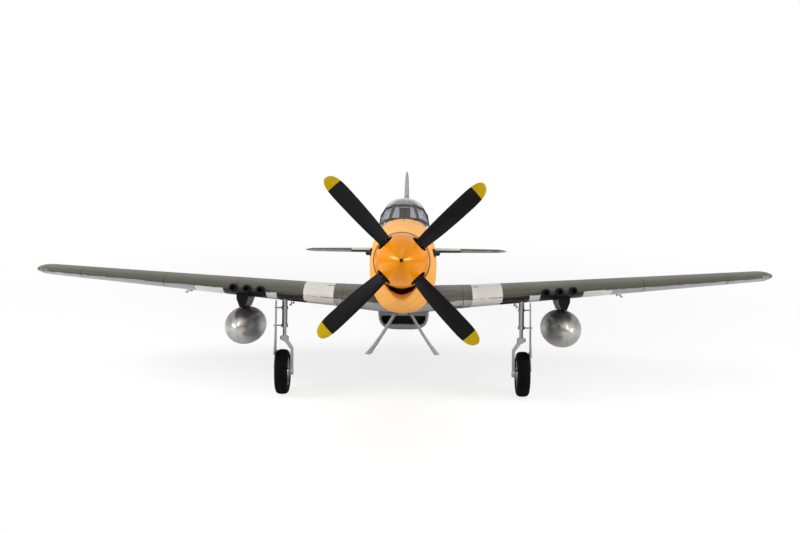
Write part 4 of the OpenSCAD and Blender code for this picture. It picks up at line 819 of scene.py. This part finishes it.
def bladeGrid():
    # sections of a cambered foil, closer toward the tip, each turned to the pitch at its own radius
    b = bladeShape
    root = b["rows"][0][0]
    tip = b["rows"][-1][0]
    t = np.linspace(0, 1, b["along"])
    r = root + (tip - root) * (1 - (1 - t) ** b["bunch"])
    chord = tableAt(b["rows"], r)[0] * b["chord"]
    angle = np.arctan2(b["pitch"], 2 * np.pi * r)
    thin, tipThin = b["thickness"]
    thick = (thin + (tipThin - thin) * np.clip((r - root) / b["thinOver"], 0, 1)) * chord
    c = (1 - np.cos(np.pi * np.arange(b["around"] + 1) / b["around"])) / 2
    around = np.concatenate([c[::-1], c[1:]])
    upper = np.arange(len(around)) <= b["around"]
    v = np.where(upper, foilHalf(around) * b["upper"], -foilHalf(around) * b["lower"]) * thick[:, None]
    v = v + np.where(upper, b["edge"], -b["edge"])
    u = (around - b["middle"]) * chord[:, None]
    turn = angle[:, None]
    across = u * np.cos(turn) + v * np.sin(turn)
    aft = propPlane + u * np.sin(turn) - v * np.cos(turn)
    return np.stack([across, aft, np.repeat(r[:, None], len(around), 1)], -1)


def outward(obj):
    # turns the faces of a closed piece to the outside
    work = bmesh.new()
    work.from_mesh(obj.data)
    bmesh.ops.recalc_face_normals(work, faces=work.faces)
    work.to_mesh(obj.data)
    work.free()
    return obj


bladePoints = []
bladeFaces = []
shankTurn = np.linspace(0, 2 * np.pi, bladeShape["shankAround"], endpoint=False)
shankRing = bladeShape["shank"] * np.stack([np.cos(shankTurn), np.sin(shankTurn), 0 * shankTurn], -1)
shankGrid = np.stack([shankRing + [0, propPlane, reach] for reach in bladeShape["shankSpan"]])
for k in range(bladeShape["count"]):
    turn = np.radians(bladeShape["turn"] + 360 / bladeShape["count"] * k)
    matrix = np.array([[np.cos(turn), 0, np.sin(turn)], [0, 1, 0], [-np.sin(turn), 0, np.cos(turn)]])
    for grid in (bladeGrid(), shankGrid):
        points, faces = closedGrid(grid)
        start = sum(len(part) for part in bladePoints)
        bladePoints.append(points @ matrix.T)
        bladeFaces += [[v + start for v in face] for face in faces]
blades = outward(addMesh("prop_blades_fine", np.concatenate(bladePoints), bladeFaces))
finish(blades, "prop_blades", bladeNylon)
print("propeller made")

# Drop tanks: a turned teardrop with a sunk seam round its middle and a parting line along it

tankShape = {"x": 320, "y": 322, "z": -132, "length": 262, "radius": 38, "fullest": 0.47, "power": 2.3,
             "round": 0.62, "ends": (0.006, 0.994), "seam": 0.46, "seamWidth": 1.6, "seamDepth": 0.5,
             "seamRows": (-0.008, -0.005, -0.002, 0, 0.002, 0.005, 0.008), "partingMost": 0.1, "along": 96,
             "around": 192}
tankAlong = (1 - np.cos(np.pi * np.linspace(*tankShape["ends"], tankShape["along"]))) / 2
tankAlong = np.sort(np.concatenate([tankAlong, tankShape["seam"] + np.array(tankShape["seamRows"])]))
fullest = tankShape["fullest"]
tankReach = np.where(tankAlong < fullest, fullest, 1 - fullest)
bulge = 1 - (np.abs(tankAlong - fullest) / tankReach) ** tankShape["power"]
tankRadius = tankShape["radius"] * np.maximum(0, bulge) ** tankShape["round"]
seamGap = (tankAlong - tankShape["seam"]) * tankShape["length"] / tankShape["seamWidth"]
tankRadius = tankRadius - tankShape["seamDepth"] * np.exp(-seamGap ** 2)
tankProfile = np.stack([tankAlong * tankShape["length"], tankRadius], -1)
partingShare = tankShape["seamDepth"] / np.maximum(tankRadius, leastRadius)[:, None]
partingShare = np.minimum(partingShare, tankShape["partingMost"])
for side in ("left", "right"):
    node = side + "_drop_tank"
    sign = np.sign(cadTriangles(node)[0][:, 0].mean())
    centre = np.array([sign * tankShape["x"], tankShape["y"], tankShape["z"]])
    grid = turnedGrid(tankProfile, tankShape["around"], centre)
    # the parting line of the two halves runs along the top and the bottom
    for column in (0, tankShape["around"] // 2):
        grid[:, column, ::2] = centre[::2] + (grid[:, column, ::2] - centre[::2]) * (1 - partingShare)
    points, faces = closedGrid(grid)
    finish(outward(addMesh(node + "_shell", points, faces)), node, tankPaint)

# Tyres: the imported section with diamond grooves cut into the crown

tyreShape = {"x": 240.2, "y": 410, "z": -223, "half": 13, "rim": 28, "radius": 44.99, "crown": 13,
             "around": 360, "section": 73, "square": (0.8, 0.55), "bead": 0.72, "beadRows": 8, "blocks": 30,
             "slant": 0.704, "groove": 0.2, "grooveEdge": 0.08, "depth": 1.1, "shoulder": 10.5,
             "shoulderFade": 2, "sidewall": 8}
sectionTurn = np.linspace(-np.pi / 2, np.pi / 2, tyreShape["section"])
acrossPower, crownPower = tyreShape["square"]
across = -signedPower(np.sin(sectionTurn), acrossPower) * tyreShape["half"]
crown = tyreShape["radius"] - tyreShape["crown"] + tyreShape["crown"] * np.cos(sectionTurn) ** crownPower
bead = np.linspace(-tyreShape["bead"], tyreShape["bead"], tyreShape["beadRows"])[:, None]
bead = bead * [tyreShape["half"], 0] + [0, tyreShape["rim"]]
profile = np.concatenate([bead, np.stack([across, crown], -1)])
turn = np.linspace(0, 2 * np.pi, tyreShape["around"], endpoint=False)[None, :]
lane = profile[:, :1] * tyreShape["slant"] / tyreShape["crown"]
blockTurn = turn * tyreShape["blocks"] / (2 * np.pi)
waves = [np.abs((blockTurn + way * lane + 0.5) % 1 - 0.5) for way in (1, -1)]
groove = smoothStep((tyreShape["groove"] - np.minimum(*waves)) / tyreShape["grooveEdge"])
groove = groove * smoothStep((tyreShape["shoulder"] - np.abs(profile[:, :1])) / tyreShape["shoulderFade"])
groove = groove * (profile[:, 1:] > tyreShape["rim"] + tyreShape["sidewall"]) * tyreShape["depth"]
treadRadius = profile[:, 1:] - groove
tread = np.stack([np.repeat(profile[:, :1], tyreShape["around"], 1), treadRadius * np.cos(turn),
                  treadRadius * np.sin(turn)], -1)
for side in ("left", "right"):
    node = side + "_tyre"
    sign = np.sign(cadTriangles(node)[0][:, 0].mean())
    points, faces = tubeGrid(tread + [sign * tyreShape["x"], tyreShape["y"], tyreShape["z"]])
    finish(outward(addMesh(node + "_tread", points, faces)), node, rubber)
print("tanks and tyres made")

# Canopy: a thin blown shell on a smooth arch, its foot on the deck

canopyShape = {"rows": [[510.6, 50, 121], [530, 50.5, 130], [560, 50, 136], [595, 47, 134], [630, 41, 124],
                        [660, 33, 109], [684, 24, 94], [698, 15, 85]],
               "base": 70, "foot": 75.1, "wall": 1.4, "across": 0.85, "up": 0.8, "first": 510.8,
               "last": 697.5, "along": 90, "around": 72, "clear": 0.15, "halvings": 40, "crease": 40,
               "sheetCrease": 14}


def canopyArch(y, turn, inset):
    # half width and height follow powers of the cosine and sine round the arch
    half, top = tableAt(canopyShape["rows"], y)
    base = canopyShape["base"]
    x = (half - inset) * signedPower(np.cos(turn), canopyShape["across"])
    z = base + (top - inset - base) * np.maximum(np.sin(turn), 0) ** canopyShape["up"]
    return x, z


def deckHeight(x, y):
    # the upper half of the body section solved for its height at x
    half, top, mid, upper = tableAt(bodyShape["rows"], y)[[0, 1, 3, 4]]
    return mid + (top - mid) * np.maximum(0, 1 - np.abs(x / half) ** upper) ** (1 / upper)


def canopyFoot(y, inset):
    # the arch angle at which the shell meets the sill or the deck, by halving
    low = np.zeros_like(y)
    high = np.full_like(y, np.pi / 2)
    for _ in range(canopyShape["halvings"]):
        middle = (low + high) / 2
        x, z = canopyArch(y, middle, inset)
        above = z > np.maximum(canopyShape["foot"], deckHeight(x, y) + canopyShape["clear"])
        high = np.where(above, middle, high)
        low = np.where(above, low, middle)
    return high


rows = canopyShape["along"]
columns = canopyShape["around"]
stations = np.linspace(canopyShape["first"], canopyShape["last"], rows)[:, None]
sides = []
for inset in (0, canopyShape["wall"]):
    foot = canopyFoot(stations, inset)
    arch = foot + (np.pi - 2 * foot) * np.linspace(0, 1, columns)
    archY = np.repeat(stations, columns, 1)
    archX, archZ = canopyArch(archY, arch, inset)
    sides.append(np.stack([archX, archY, archZ], -1))
shell = np.concatenate([sides[0], sides[1][:, ::-1]], 1)
# the wall is closed across its front and rear edges
i = np.arange(columns - 1)
rim = np.stack([i, i + 1, 2 * columns - 2 - i, 2 * columns - 1 - i], -1)
faces = np.concatenate([gridFaces(rows, 2 * columns), rim[:, ::-1], rim + (rows - 1) * 2 * columns]).tolist()
canopy = outward(addMesh("canopy_shell", shell.reshape(-1, 3), faces, canopyShape["crease"]))
finish(canopy, "canopy_glass", glazing)
points, tris = cadTriangles("windscreen_glass")
sheet = addMesh("windscreen_sheet", points, tris.tolist(), canopyShape["sheetCrease"])
finish(sheet, "windscreen_glass", glazing)
print("glazing made")

# Fittings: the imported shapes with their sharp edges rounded, each by its own width in mm

roundedEdges = {"flat": 0.5, "sharp": 40, "segments": 2}
fittingEdges = {"exhaust_stacks": 0.5, "gun_barrels": 0.4, "tank_pylons": 1.2, "spinner_backplate": 0.3,
                "prop_hub": 0.4, "spinner_screw": 0.2, "windscreen_frame": 0.35, "tail_leg": 0.4,
                "tail_wheel": 0.5, "cockpit_seat": 1.0, "instrument_panel": 0.6, "retract_units": 0.5}
blackFittings = ("spinner_screw", "spinner_backplate", "prop_hub")
for side in ("left_", "right_"):
    for part, width in (("gear_leg", 0.5), ("strut_door", 0.4), ("oleo_fork", 0.5), ("wheel_hub", 0.5),
                        ("inner_door", 0.4), ("aileron_arm", 0.2), ("flap_arm", 0.2), ("aileron_rod", 0.15),
                        ("flap_rod", 0.15)):
        fittingEdges[side + part] = width


def flatDissolved(obj):
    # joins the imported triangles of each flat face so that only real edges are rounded
    work = bmesh.new()
    work.from_mesh(obj.data)
    flat = np.radians(roundedEdges["flat"])
    bmesh.ops.dissolve_limit(work, angle_limit=flat, verts=work.verts, edges=work.edges)
    work.to_mesh(obj.data)
    work.free()


for node, width in fittingEdges.items():
    points, tris = cadTriangles(node)
    obj = addMesh(node + "_rounded", points, tris.tolist())
    flatDissolved(obj)
    bevel = obj.modifiers.new("edges", "BEVEL")
    bevel.width = width / 1000
    bevel.segments = roundedEdges["segments"]
    bevel.limit_method = "ANGLE"
    bevel.angle_limit = np.radians(roundedEdges["sharp"])
    bevel.harden_normals = True
    finish(obj, node, blackSteel if node in blackFittings else slotFinish[slotOf[node]])

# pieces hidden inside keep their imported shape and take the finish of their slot
for node, plain in frame["nodes"].items():
    if slotOf[node] in slotFinish and node not in fittingEdges:
        plain.data.materials.clear()
        plain.data.materials.append(slotFinish[slotOf[node]])
print("fittings made")

# Stage: white floor, soft boxes either side and above, the camera level with the nose;
# the paper's fibre is in waves per metre, about 1.1 mm each

stage = {"camera": (20.5, -1843, -10), "toward": (-0.01215, 1, 0), "roll": 0.45, "lens": 50.6, "sensor": 36,
         "ambient": 0.26, "aim": (0, 300, -40), "floorHalf": 30, "paper": ("#f4f4f4", "#ffffff"),
         "fibre": 900.0, "glow": ((0.5, 0.8), (1.5, 1.0)),
         "boxes": [((-1565, -20, 560), 24, 0.6), ((1600, -60, 350), 18, 0.5), ((80, -300, 1850), 17, 1.5)]}


def floorFinish():
    # near-white studio paper: part glow to the eye, part diffuse so that it keeps a soft shadow
    material, tree = newMaterial("white studio paper")
    view = addNode(tree, "LightPath", out="Is Camera Ray")
    place = addNode(tree, "TexCoord", out="Object")
    fibre = addNode(tree, "TexNoise", {"Vector": place, "Scale": stage["fibre"]})
    dull, bright = stage["paper"]
    paper = addNode(tree, "Mix", {0: fibre, 6: colour(dull), 7: colour(bright)}, out=2, data_type="RGBA")
    matt = addNode(tree, "BsdfDiffuse", {"Color": paper})
    glow = addNode(tree, "Emission", {"Color": (1, 1, 1, 1), "Strength": 1.0})
    # the glow takes over with distance in metres from the object
    near, far = stage["glow"]
    distance = addNode(tree, "VectorMath", {0: place}, out="Value", operation="LENGTH")
    glowing = addNode(tree, "MapRange", {"Value": distance, "From Min": near[0], "From Max": far[0],
                                         "To Min": near[1], "To Max": far[1]},
                      interpolation_type="SMOOTHSTEP")
    share = addNode(tree, "Math", {0: view, 1: glowing}, operation="MULTIPLY")
    mixed = addNode(tree, "MixShader", {0: share, 1: matt, 2: glow})
    below = addNode(tree, "NewGeometry", out="Backfacing")
    clear = addNode(tree, "BsdfTransparent")
    oneWay = addNode(tree, "MixShader", {0: below, 1: mixed, 2: clear})
    addNode(tree, "OutputMaterial", {"Surface": oneWay}, out=None)
    return material


floorCorners = np.array([(-1, -1, 0), (1, -1, 0), (1, 1, 0), (-1, 1, 0)]) * stage["floorHalf"]
floorMesh = bpy.data.meshes.new("studio_floor")
floorMesh.from_pydata(floorCorners.tolist(), [], [(0, 1, 2, 3)])
floorMesh.materials.append(floorFinish())
floor = bpy.data.objects.new("studio_floor", floorMesh)
bpy.context.scene.collection.objects.link(floor)

# the world is white to the eye and in reflections, and dimmer as light
world = bpy.data.worlds.new("studio")
bpy.context.scene.world = world
world.use_nodes = True
worldTree = world.node_tree
worldTree.nodes.clear()
path = addNode(worldTree, "LightPath", out=None)
seen = addNode(worldTree, "Math", {0: path.outputs["Is Camera Ray"], 1: path.outputs["Is Glossy Ray"]},
               operation="MAXIMUM")
seen = addNode(worldTree, "Math", {0: seen, 1: path.outputs["Is Transmission Ray"]}, operation="MAXIMUM")
strength = addNode(worldTree, "MapRange", {"Value": seen, "To Min": stage["ambient"], "To Max": 1.0})
sky = addNode(worldTree, "Background", {"Color": (1, 1, 1, 1), "Strength": strength})
addNode(worldTree, "OutputWorld", {"Surface": sky}, out=None)


def aimed(obj, spot, way, roll=0.0):
    # places an object and points its -Z along a direction, up kept toward the sky
    obj.location = spot
    turn = Vector(way).to_track_quat("-Z", "Y").to_matrix().to_4x4()
    obj.rotation_euler = (turn @ Matrix.Rotation(np.radians(roll), 4, "Z")).to_euler()
    bpy.context.scene.collection.objects.link(obj)


centre = toRow(stage["aim"])
for index, (spot, power, size) in enumerate(stage["boxes"]):
    lamp = bpy.data.lights.new("softbox_" + str(index), "AREA")
    lamp.energy = power
    lamp.shape = "SQUARE"
    lamp.size = size
    obj = bpy.data.objects.new("softbox_" + str(index), lamp)
    aimed(obj, toRow(spot), centre - toRow(spot))

lens = bpy.data.cameras.new("photo_camera")
lens.lens = stage["lens"]
lens.sensor_width = stage["sensor"]
lens.dof.use_dof = False
camera = bpy.data.objects.new("photo_camera", lens)
aimed(camera, toRow(stage["camera"]), np.array(stage["toward"]) @ axes, stage["roll"])
bpy.context.scene.camera = camera
bpy.context.scene.view_settings.view_transform = "Standard"
print("stage made")
